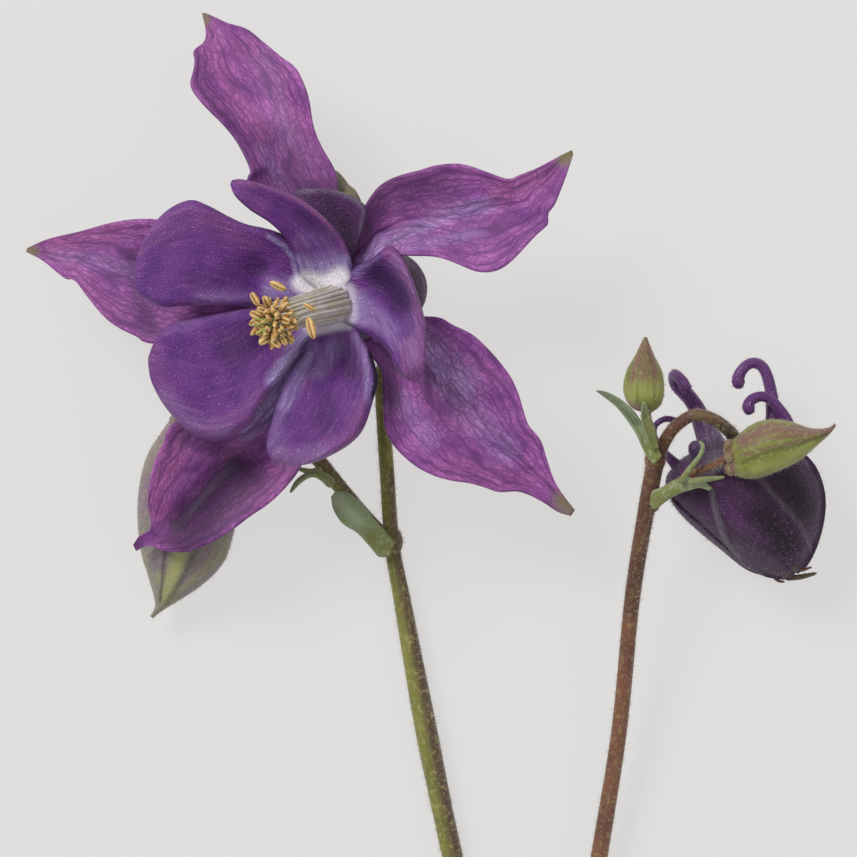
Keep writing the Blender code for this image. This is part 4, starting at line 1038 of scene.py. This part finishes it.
# Closed buds: outlines from stem end to tip, middle heights, half depths and rib marks.
buds = {
    "bud_left": {
        "one": [(198, 408), (176, 415), (161, 434), (148, 457), (141, 486), (139, 518),
                (142, 553), (148, 575), (154, 597), (155, 607), (150, 616)],
        "other": [(212, 408), (232, 424), (243, 460), (243, 500), (237, 527), (233, 543),
                  (227, 560), (215, 575), (198, 589), (177, 602), (162, 611), (153, 618)],
        "heights": (5.2, 5.0, 4.9, 4.8, 4.4, 3.2),
        "depths": (1.4, 4.4, 4.8, 4.6, 2.6, 0.5),
        "ribs": (5, 0.035),
        "finish": "bud",
        "marks": [("pale", 1.0, 6, [(192, 470), (184, 530), (178, 560), (167, 595)]),
                  ("warm", 0.6, 7, [(168, 430), (152, 470), (146, 510)]),
                  ("warm", 0.45, 7, [(222, 470), (208, 540), (196, 570)]),
                  ("pale", 0.4, 1.4, [(228, 540), (212, 568), (180, 592)]),
                  ("pale", 0.4, 1.4, [(222, 536), (204, 568), (174, 594)]),
                  ("pale", 0.5, 3, [(160, 575), (163, 600)]),
                  ("dark", 0.7, 1.6, [(178, 452), (166, 530), (164, 560), (160, 600)]),
                  ("dark", 0.55, 2.5, [(203, 500), (198, 545), (186, 572), (168, 602)])],
        "spurs": (2.6, 0.75, 0.16),
    },
    "bud_green": {
        "one": [(725, 452), (733, 440), (752, 425), (771, 420), (791, 422), (810, 428),
                (827, 428), (835, 423)],
        "other": [(726, 462), (731, 473), (745, 479), (762, 478), (783, 470), (800, 461),
                  (817, 446), (831, 433), (836, 426)],
        "heights": (17.6, 17.8, 18.0, 18.2, 18.6),
        "depths": (0.6, 2.8, 3.1, 2.0, 0.3),
        "ribs": (5, 0.03),
        "finish": "greenBud",
        "marks": [("warm", 0.75, 5, [(742, 440), (768, 428), (795, 430), (828, 430)]),
                  ("warm", 0.7, 1.6, [(740, 448), (770, 438), (800, 436), (828, 431)]),
                  ("warm", 0.6, 1.4, [(742, 455), (775, 446), (812, 438)]),
                  ("warm", 0.9, 5, [(727, 452), (730, 470)]),
                  ("warm", 0.8, 3, [(826, 428), (835, 425)]),
                  ("pale", 0.7, 4, [(755, 470), (785, 462), (812, 445)]),
                  ("dark", 0.5, 1.4, [(742, 463), (765, 452), (800, 444), (826, 434)])],
        "spurs": (1.5, 0.56, 0.12),
    },
    "bud_small": {
        "one": [(645, 413), (631, 407), (624, 391), (627, 371), (636, 354), (644, 337)],
        "other": [(651, 413), (661, 405), (665, 391), (663, 372), (654, 354), (647, 337)],
        "heights": (14.0, 14.2, 14.3, 14.4),
        "depths": (0.5, 2.1, 2.2, 1.3, 0.25),
        "ribs": (5, 0.035),
        "finish": "greenBud",
        "marks": [("warm", 0.5, 9, [(644, 372), (645, 345)]),
                  ("warm", 0.75, 2.5, [(630, 388), (634, 370), (643, 345)]),
                  ("warm", 0.75, 2.5, [(657, 388), (655, 370), (648, 345)]),
                  ("warm", 0.55, 2, [(641, 390), (643, 368), (645, 345)]),
                  ("warm", 0.55, 2, [(649, 390), (649, 368), (647, 345)]),
                  ("warm", 0.7, 3, [(630, 404), (640, 411)]),
                  ("pale", 0.6, 9, [(632, 392), (658, 392)]),
                  ("dark", 0.4, 1.3, [(637, 405), (638, 375), (644, 350)]),
                  ("dark", 0.4, 1.3, [(655, 402), (653, 375), (648, 350)])],
        "spurs": None,
    },
}


budSpurs = {
    "count": 5,
    "phase": 0.25,
    "rootIn": 0.35,      # how far towards the pod's middle each one starts
    "halfway": (0.5, 0.4),  # shares of its reach back and its girth outwards
    "end": (1.0, 0.1),
    "taper": (1.0, 0.9, 0.35),
    "edgeSteps": 20,
    "floorGap": 0.1,
}


def podEdges(shape, count):
    return [evenAlong(shape[edge], count) for edge in ("one", "other")]


def podPoint(one, other, shape, v, turn):
    edgeOne, edgeOther = curveThrough(one, v), curveThrough(other, v)
    middle, half = (edgeOne + edgeOther) / 2, (edgeOne - edgeOther) / 2
    spot = middle + half * math.cos(turn)
    height = curveThrough(shape["heights"], v) \
        + curveThrough(shape["depths"], v) * math.sin(turn)
    return toFrame(spot.x, spot.y, height)


def podCentre(one, other, shape, v):
    middle = (curveThrough(one, v) + curveThrough(other, v)) / 2
    return toFrame(middle.x, middle.y, curveThrough(shape["heights"], v))


def makePod(name, shape, sides, steps):
    one, other = podEdges(shape, steps)
    count, lift = shape["ribs"]

    def place(u, v):
        turn = 2 * math.pi * u
        centre = podCentre(one, other, shape, v)
        point = podPoint(one, other, shape, v, turn)
        seam = math.cos(count * turn)
        swell = 1 + (lift * seam - lift * 0.8 * max(0.0, -seam) ** 6) * math.sin(math.pi * v)
        return centre + (point - centre) * swell

    return shapedGrid(name, sides, steps, place, closed=True)


def makeBuds():
    made = []
    for node, shape in buds.items():
        pod = makePod("visual_" + node, shape, 80, 72)
        brushMarks(pod, shape["marks"])
        extras = []
        if shape["spurs"]:
            reach, girth, at = shape["spurs"]
            one, other = podEdges(shape, budSpurs["edgeSteps"])
            for index in range(budSpurs["count"]):
                turn = 2 * math.pi * (index + budSpurs["phase"]) / budSpurs["count"]
                crown = podPoint(one, other, shape, 0.0, turn)
                edge = podPoint(one, other, shape, at, turn)
                centre = podCentre(one, other, shape, at)
                back, out = (crown - edge).normalized(), (edge - centre).normalized()
                route = [edge.lerp(centre, budSpurs["rootIn"])]
                for backShare, outShare in (budSpurs["halfway"], budSpurs["end"]):
                    route.append(edge + (back * reach * backShare
                                         + out * girth * outShare) * mm)
                for point in route:
                    point.z = max(point.z, (girth + budSpurs["floorGap"]) * mm)
                spur = makeTube(f"{node}_spur_{index}", route,
                                [girth * share for share in budSpurs["taper"]], 16, 14)
                brushMarks(spur, [("warm", 0.6, 60, [shape["one"][0]])])
                extras.append(spur)
        if extras:
            joinInto(pod, extras)
        handOver(pod, finishes[shape["finish"]], [node])
        made.append(pod)
    return made


nodding = {
    "one": [(720, 452), (690, 454), (669, 476), (676, 502), (697, 524), (726, 548), (754, 569),
            (782, 577)],
    "other": [(745, 450), (780, 444), (808, 459), (821, 490), (820, 520), (813, 546),
              (803, 564), (792, 577)],
    "heights": (7.5, 7.5, 7.5, 7.4, 7.1, 6.7),
    "depths": (1.6, 5.6, 6.4, 5.6, 3.6, 1.0),
    "ribs": (5, 0.03),
    "marks": [("warm", 1.5, 10, [(676, 468), (684, 492)]),
              ("pale", 0.7, 12, [(716, 462), (728, 474)])],
}
noddingSpurs = (
    ([(724, 470, 7.4), (709, 438, 7.0), (694, 404, 6.2), (677, 384, 6.4), (675, 375, 7.6),
      (682, 381, 9.2), (688, 393, 9.4)], (2.0, 1.5, 1.15, 0.85, 0.8, 0.6, 0.7)),
    ([(768, 480, 7.0), (773, 427, 6.8), (771, 392, 6.4), (764, 369, 6.4), (753, 363, 6.6),
      (743, 369, 6.8), (738, 380, 6.8), (742, 388, 6.9)],
     (1.5, 1.1, 0.92, 0.76, 0.64, 0.6, 0.6, 0.78)),
    ([(784, 480, 8.4), (789, 430, 8.6), (778, 407, 9.0), (765, 397, 9.2), (753, 399, 9.4),
      (748, 407, 9.6), (754, 412, 9.6)], (1.5, 1.15, 0.85, 0.6, 0.54, 0.58, 0.72)),
    ([(694, 486, 7.9), (679, 468, 7.7), (664, 452, 7.3), (655, 438, 7.0), (655, 426, 7.0),
      (665, 419, 7.0), (677, 421, 7.0), (684, 422, 6.8)],
     (1.4, 1.0, 0.6, 0.4, 0.33, 0.32, 0.34, 0.4)),
    ([(712, 480, 9.6), (704, 464, 10.8), (696, 449, 11.4), (693, 444, 11.0)],
     (1.5, 1.15, 0.95, 0.85)),
)
# Three sepals lie on top, each between two outlines in photo pixels with a downy midrib.
noddingTop = {
    2: {"left": [(800, 452), (813, 472), (817, 495), (816, 520), (813, 545), (806, 564),
                 (796, 573)],
        "right": [(722, 470), (712, 484), (717, 504), (727, 523), (741, 535), (758, 543),
                  (775, 554), (794, 572)],
        "midrib": [(757, 476), (782, 504), (799, 523), (811, 548)], "clearance": 0.75,
        "marks": [("warm", 0.55, 8, [(718, 488), (734, 520), (762, 540)]),
                  ("pale", 0.65, 2.2, [(757, 476), (782, 504), (799, 523), (811, 548)]),
                  ("dark", 0.7, 12, [(765, 515), (785, 545)]),
                  ("dark", 0.8, 11, [(788, 482), (806, 512)]),
                  ("green", 0.4, 4, [(795, 571)])]},
    1: {"left": [(726, 478), (736, 510), (752, 536), (772, 550), (788, 564), (794, 572)],
        "right": [(694, 486), (682, 506), (694, 521), (724, 546), (741, 562), (763, 576),
                  (784, 580)],
        "midrib": [(712, 492), (717, 516), (727, 543), (744, 566), (764, 576)],
        "clearance": 0.4,
        "marks": [("pale", 0.85, 2.6, [(712, 492), (717, 516), (727, 543), (744, 566),
                                       (764, 576)]),
                  ("pale", 0.25, 8, [(740, 545), (775, 568)]),
                  ("warm", 0.35, 7, [(692, 505), (712, 528)]),
                  ("green", 0.4, 4, [(786, 577)])]},
    3: {"left": [(802, 450), (817, 468), (825, 492), (825, 517), (818, 545), (808, 565),
                 (798, 574)],
        "right": [(792, 455), (806, 478), (809, 500), (808, 522), (805, 545), (800, 562),
                  (795, 572)],
        "midrib": [(815, 470), (819, 500), (815, 540)], "clearance": 0.3,
        "marks": [("pale", 0.3, 3, [(818, 480), (820, 510), (815, 540)])]},
}
# The others wrap the sides and the underside, placed by their turn round the core.
noddingWraps = {4: (278, 276), 5: (328, 348)}
noddingSheets = {
    "halfWidths": (9, 26, 32, 31, 24, 4),
    "settled": 0.5,
    "start": 0.16,
    "end": 0.97,
    "clearance": 0.02,
    "thickness": 0.3,
    "ridge": 0.3,
    "ridgeWidth": 0.3,
    "edgeSteps": 60,
    "ridgeSteps": 40,
    "halvings": 12,
    "widest": 0.98,      # share of the core's half width that a draped sheet may reach
}
noddingTips = (((784, 578, 6.6), (800, 577, 6.2), (817, 573, 5.6), 0.3, "darkPetal"),
               ((800, 571, 8.0), (806, 569, 8.0), (812, 567, 7.9), 0.16, "rightStem"),
               ((774, 578, 6.4), (779, 581, 6.3), (785, 582, 6.2), 0.16, "rightStem"))


def drapedPlace(shape, one, other):
    left, right = (evenAlong(shape[edge], noddingSheets["edgeSteps"])
                   for edge in ("left", "right"))
    ridge = evenAlong(shape["midrib"], noddingSheets["ridgeSteps"])

    def place(u, v):
        side = 2 * u - 1
        edgeOne, edgeOther = curveThrough(left, v), curveThrough(right, v)
        spot = ((edgeOne + edgeOther) / 2).lerp(edgeOne if side < 0 else edgeOther, abs(side))
        low, high = 0.0, 1.0
        # each step halves the stretch of the core that holds the spot
        for _ in range(noddingSheets["halvings"]):
            at = (low + high) / 2
            a, b = curveThrough(one, at), curveThrough(other, at)
            ahead = (b - a).cross(spot - (a + b) / 2)
            low, high = (at, high) if ahead > 0 else (low, at)
        half = (a - b) / 2
        share = (spot - (a + b) / 2).dot(half) / half.length_squared
        share = max(-noddingSheets["widest"], min(noddingSheets["widest"], share))
        away = min((spot - point).length for point in ridge) * view["pixel"]
        height = curveThrough(nodding["heights"], at) \
            + curveThrough(nodding["depths"], at) * math.sqrt(1 - share * share) \
            + shape["clearance"] * (1 - 0.5 * abs(side) ** 3) \
            + noddingSheets["ridge"] * math.exp(-(away / noddingSheets["ridgeWidth"]) ** 2)
        return toFrame(spot.x, spot.y, height)

    return place


def wrapPlace(foot, settled, one, other):
    def place(u, v):
        at = noddingSheets["start"] + (noddingSheets["end"] - noddingSheets["start"]) * v
        share = min(v / noddingSheets["settled"], 1.0)
        middle = foot + (settled - foot) * share * share * (3 - 2 * share)
        side = 2 * u - 1
        turn = math.radians(middle + side * curveThrough(noddingSheets["halfWidths"], v))
        centre = podCentre(one, other, nodding, at)
        point = podPoint(one, other, nodding, at, turn)
        clear = noddingSheets["clearance"] + noddingSheets["thickness"] \
            + 0.25 * (1 - abs(side)) + 0.2 * math.exp(-(side / 0.12) ** 2)
        return point + (point - centre).normalized() * clear * mm

    return place


def makeNoddingBloom():
    core = makePod("visual_nodding_petals", nodding, 90, 80)
    brushMarks(core, nodding["marks"])
    core.data.materials.append(finishes["darkPetal"])
    extras = []
    for index, (stations, radii) in enumerate(noddingSpurs):
        route = routeOf(stations)
        spur = makeTube(f"nodding_spur_{index}", route, radii, 28, 60, 8, 0.03)
        brushMarks(spur, [("pale", 0.7, 17, [(716, 448)]), ("dark", 0.7, 9, [(694, 452)])])
        spur.data.materials.append(finishes["darkSpur"])
        extras.append(spur)
    for index, (start, middle, end, radius, skin) in enumerate(noddingTips):
        route = routeOf((start, middle, end))
        bit = makeTube(f"nodding_tip_{index}", route, (radius, radius, radius * 0.6), 10, 12)
        brushMarks(bit, [("green", 0.7, 12, [(806, 575)])])
        bit.data.materials.append(finishes[skin])
        extras.append(bit)
    joinInto(core, extras)
    handOver(core, None, ["nodding_petals"])
    one, other = podEdges(nodding, noddingSheets["edgeSteps"])
    wraps = [core]
    for index in range(1, 6):
        onTop = index in noddingTop
        place = drapedPlace(noddingTop[index], one, other) if onTop \
            else wrapPlace(*noddingWraps[index], one, other)
        wrap = shapedGrid(f"visual_nodding_sepal_{index}", 40, 72, place)
        brushMarks(wrap, noddingTop[index]["marks"] if onTop else [])
        useModifier(wrap, "SOLIDIFY", thickness=noddingSheets["thickness"] * mm,
                    offset=-1.0 if onTop else 1.0)
        handOver(wrap, finishes["darkPetal"], [f"nodding_sepal_{index}"])
        wraps.append(wrap)
    return wraps


bractThickness = 0.3
bracts = {
    "bract_left": {
        "left": [(394, 543), (385, 531), (376, 521), (366, 508), (357, 499), (348, 493),
                 (341, 491), (334, 493)],
        "right": [(389, 555), (379, 557), (370, 547), (357, 533), (347, 527), (340, 521),
                  (333, 509), (331, 497)],
        "heights": (4.2, 5.0, 5.8, 6.2, 6.2), "lifts": ((0, 0.4, 0.5, 0), (0, 0.4, 0.5, 0)),
        "marks": [("warm", 1.0, 9, [(390, 547), (372, 538)]),
                  ("pale", 0.5, 6, [(338, 500), (356, 520)])],
    },
    "bract_right": {
        "left": [(650, 502), (652, 491), (662, 487), (674, 480), (686, 477), (697, 479),
                 (707, 483), (712, 488)],
        "right": [(652, 508), (656, 509), (667, 501), (679, 494), (691, 490), (700, 488),
                  (710, 491)],
        "heights": (12.3, 13.8, 14.9, 15.4, 15.6),
        "lifts": ((0, -0.5, -0.3, 0), (0, -0.5, -0.3, 0)),
        "marks": [("warm", 1.0, 9, [(654, 501), (672, 492)]),
                  ("pale", 0.6, 4, [(688, 481), (704, 485)])],
    },
    "bract_narrow": {
        "left": [(654, 465), (648, 457), (644, 448), (639, 435), (630, 421), (618, 406),
                 (606, 397), (596, 391)],
        "right": [(662, 456), (657, 447), (649, 437), (641, 425), (632, 412), (620, 401),
                  (607, 393), (597, 390)],
        "heights": (13.7, 13.6, 13.2, 12.6, 12.0),
        "lifts": ((0, 0.3, 0.2, 0), (0, 0.3, 0.2, 0)),
        "marks": [("warm", 1.0, 7, [(656, 458), (648, 444)]),
                  ("dark", 0.6, 2.5, [(637, 424), (618, 403), (600, 391)])],
    },
    "bract_small": {
        "left": [(652, 450), (648, 436), (643, 420), (643, 403)],
        "right": [(659, 448), (655, 434), (649, 416), (645, 402)],
        "heights": (14.3, 15.2, 16.0, 17.4), "lifts": ((0, 0.2, 0.2, 0), (0, 0.2, 0.2, 0)),
        "marks": [("warm", 0.9, 8, [(655, 446), (647, 420)])],
    },
}
stipules = {
    "stipule_long": ([(688, 482, 15.9), (700, 480, 16.4), (725, 477, 16.2)],
                     (0.32, 0.34, 0.16)),
    "stipule_curled": ([(679, 484, 15.6), (689, 470, 16.4), (700, 456, 16.8),
                        (703, 446, 16.4), (699, 441, 15.8)], (0.36, 0.34, 0.3, 0.26, 0.16)),
    "bracteole_upper": ([(333, 486, 5.6), (324, 477, 6.4), (312, 474, 6.9), (299, 481, 6.7),
                         (290, 493, 6.0)], (0.6, 0.55, 0.36, 0.34, 0.16)),
    "bracteole_lower": ([(322, 470, 6.4), (312, 472, 6.8), (303, 470, 6.9), (296, 468, 6.6)],
                        (0.5, 0.4, 0.3, 0.16)),
}


def makeBracts():
    for node, shape in bracts.items():
        place = sheetPlace(shape, shape["left"], shape["right"], 24)
        piece = shapedGrid("visual_" + node, 16, 36, place)
        brushMarks(piece, shape["marks"])
        useModifier(piece, "SOLIDIFY", thickness=bractThickness * mm, offset=-1.0)
        handOver(piece, finishes["leaf"], [node])
    for node, (stations, radii) in stipules.items():
        route = routeOf(stations)
        piece = makeTube("visual_" + node, route, radii, 12, 24)
        brushMarks(piece, [("warm", 0.8, 30, [stations[0][:2]])])
        handOver(piece, finishes["leaf"], [node])


# Fine down: tapered three-sided hairs, each of six faces, rooted on a piece at random.
hairCoats = {
    "stemHairs": {"perSquareMm": 9.0, "length": (0.22, 0.5), "radius": 0.015, "lean": 0.4},
    "budHairs": {"perSquareMm": 7.0, "length": (0.12, 0.35), "radius": 0.014, "lean": 0.7},
    "noddingHairs": {"perSquareMm": 5.0, "length": (0.2, 0.5), "radius": 0.015, "lean": 0.7},
}
hairForm = {
    "kneeAt": 0.55,
    "kneeRadius": 0.7,   # share of the radius at the root
    "rootDepth": 0.05,
    "bend": 0.3,
    "floorGap": 0.02,
    "turns": (0.0, 2.094, 4.189),
}


def growHairs(name, sources, coat, finish):
    chance = np.random.default_rng(11)
    vertices, faces = [], []
    for source in sources:
        mesh = source.data
        mesh.calc_loop_triangles()
        count = len(mesh.loop_triangles)
        corners = np.zeros(count * 3, np.int64)
        mesh.loop_triangles.foreach_get("vertices", corners)
        places = np.zeros(len(mesh.vertices) * 3)
        mesh.vertices.foreach_get("co", places)
        triangle = places.reshape(-1, 3)[corners.reshape(-1, 3)]
        square = np.cross(triangle[:, 1] - triangle[:, 0], triangle[:, 2] - triangle[:, 0])
        area = np.linalg.norm(square, axis=1) / 2
        total = int(area.sum() / mm ** 2 * coat["perSquareMm"])
        picked = chance.choice(count, total, p=area / area.sum())
        a, b = chance.random(total), chance.random(total)
        over = a + b > 1
        a[over], b[over] = 1 - a[over], 1 - b[over]
        chosen = triangle[picked]
        roots = chosen[:, 0] + a[:, None] * (chosen[:, 1] - chosen[:, 0]) \
            + b[:, None] * (chosen[:, 2] - chosen[:, 0])
        normal = square[picked]
        normal = normal / np.maximum(np.linalg.norm(normal, axis=1), 1e-20)[:, None]
        lean = normal + chance.normal(0, coat["lean"], (total, 3))
        lean /= np.linalg.norm(lean, axis=1)[:, None]
        bend = chance.normal(0, hairForm["bend"], (total, 3))
        length = chance.uniform(*coat["length"], total)[:, None] * mm
        side = np.cross(lean, [0.31, 0.52, 0.79])
        side /= np.linalg.norm(side, axis=1)[:, None]
        other = np.cross(lean, side)
        knee = roots + lean * length * hairForm["kneeAt"]
        tip = roots + (lean + bend) * length
        for end in (knee, tip):
            end[:, 2] = np.maximum(end[:, 2], hairForm["floorGap"] * mm)
        start = len(vertices)
        rings = []
        for centre, share in ((roots - lean * hairForm["rootDepth"] * mm, 1.0),
                              (knee, hairForm["kneeRadius"])):
            for turn in hairForm["turns"]:
                rings.append(centre + (side * math.cos(turn) + other * math.sin(turn))
                             * coat["radius"] * share * mm)
        block = np.stack(rings + [tip], axis=1).reshape(-1, 3)
        vertices.extend(block.tolist())
        for hair in range(total):
            base = start + hair * 7
            for k in range(3):
                follow = (k + 1) % 3
                faces.append((base + k, base + follow, base + 3 + follow, base + 3 + k))
                faces.append((base + 3 + k, base + 3 + follow, base + 6))
    mesh = bpy.data.meshes.new(name)
    mesh.from_pydata(vertices, [], faces)
    mesh.update()
    coatPiece = bpy.data.objects.new(name, mesh)
    bpy.context.scene.collection.objects.link(coatPiece)
    handOver(coatPiece, finish, [])
    print(name, len(faces), "faces")


makeSepals()
print("sepals made")
makePetals()
print("petals made")
makeColumn()
print("stamens made")
stalkPiece = makeStalk()
budPieces = makeBuds()
noddingPieces = makeNoddingBloom()
makeBracts()
print("stalk, buds, nodding bloom and bracts made")
growHairs("visual_stem_hairs", [stalkPiece], hairCoats["stemHairs"], finishes["paleHair"])
growHairs("visual_bud_hairs", budPieces, hairCoats["budHairs"], finishes["paleHair"])
growHairs("visual_nodding_hairs", noddingPieces, hairCoats["noddingHairs"],
          finishes["greyHair"])

studio = {
    "paper": "#E1DFDE",
    "paperShade": "#5C5C5B",
    "paperGlow": 0.835,
    "paperSide": 3.0,
    "paperDrop": 0.0001,
    "farthest": 10.0,
    "ambient": 0.4,
    "lamps": (((-0.45, 0.5, 0.75), 0.36, 7.0), ((0.5, -0.2, 0.9), 0.8, 1.5)),
}


def makeStudio():
    bpy.ops.object.select_all(action="DESELECT")
    bpy.ops.mesh.primitive_plane_add(size=studio["paperSide"],
                                     location=(0, 0, -studio["paperDrop"]))
    paper = bpy.context.object
    paper.name = "studioPaper"
    finish = newFinish("matteStudioPaper", Roughness=0.95, Base_Color=studio["paperShade"],
                       Emission_Color=studio["paper"], Emission_Strength=studio["paperGlow"])
    paper.data.materials.append(finish[0])  # matte paper with a faint glow stays evenly pale
    world = bpy.context.scene.world or bpy.data.worlds.new("studioWorld")
    bpy.context.scene.world = world
    world.use_nodes = True
    back = world.node_tree.nodes["Background"]
    back.inputs["Color"].default_value = (1, 1, 1, 1)
    back.inputs["Strength"].default_value = studio["ambient"]
    for index, (place, side, power) in enumerate(studio["lamps"]):
        lamp = bpy.data.lights.new(f"softBox{index}", "AREA")
        lamp.shape, lamp.size, lamp.energy = "SQUARE", side, power
        holder = bpy.data.objects.new(f"softBox{index}", lamp)
        bpy.context.scene.collection.objects.link(holder)
        holder.location = place
        holder.rotation_euler = (-Vector(place)).to_track_quat("-Z", "Y").to_euler()
    camera = bpy.data.cameras.new("photoCamera")
    camera.lens, camera.sensor_width = view["lens"], view["sensor"]
    camera.clip_end = studio["farthest"]
    holder = bpy.data.objects.new("photoCamera", camera)
    bpy.context.scene.collection.objects.link(holder)
    below = toFrame(view["middle"], view["middle"], 0)
    holder.location = (below.x, below.y, view["eye"] * mm)
    bpy.context.scene.camera = holder
    bpy.context.scene.view_settings.view_transform = "Standard"


makeStudio()
print("studio ready")
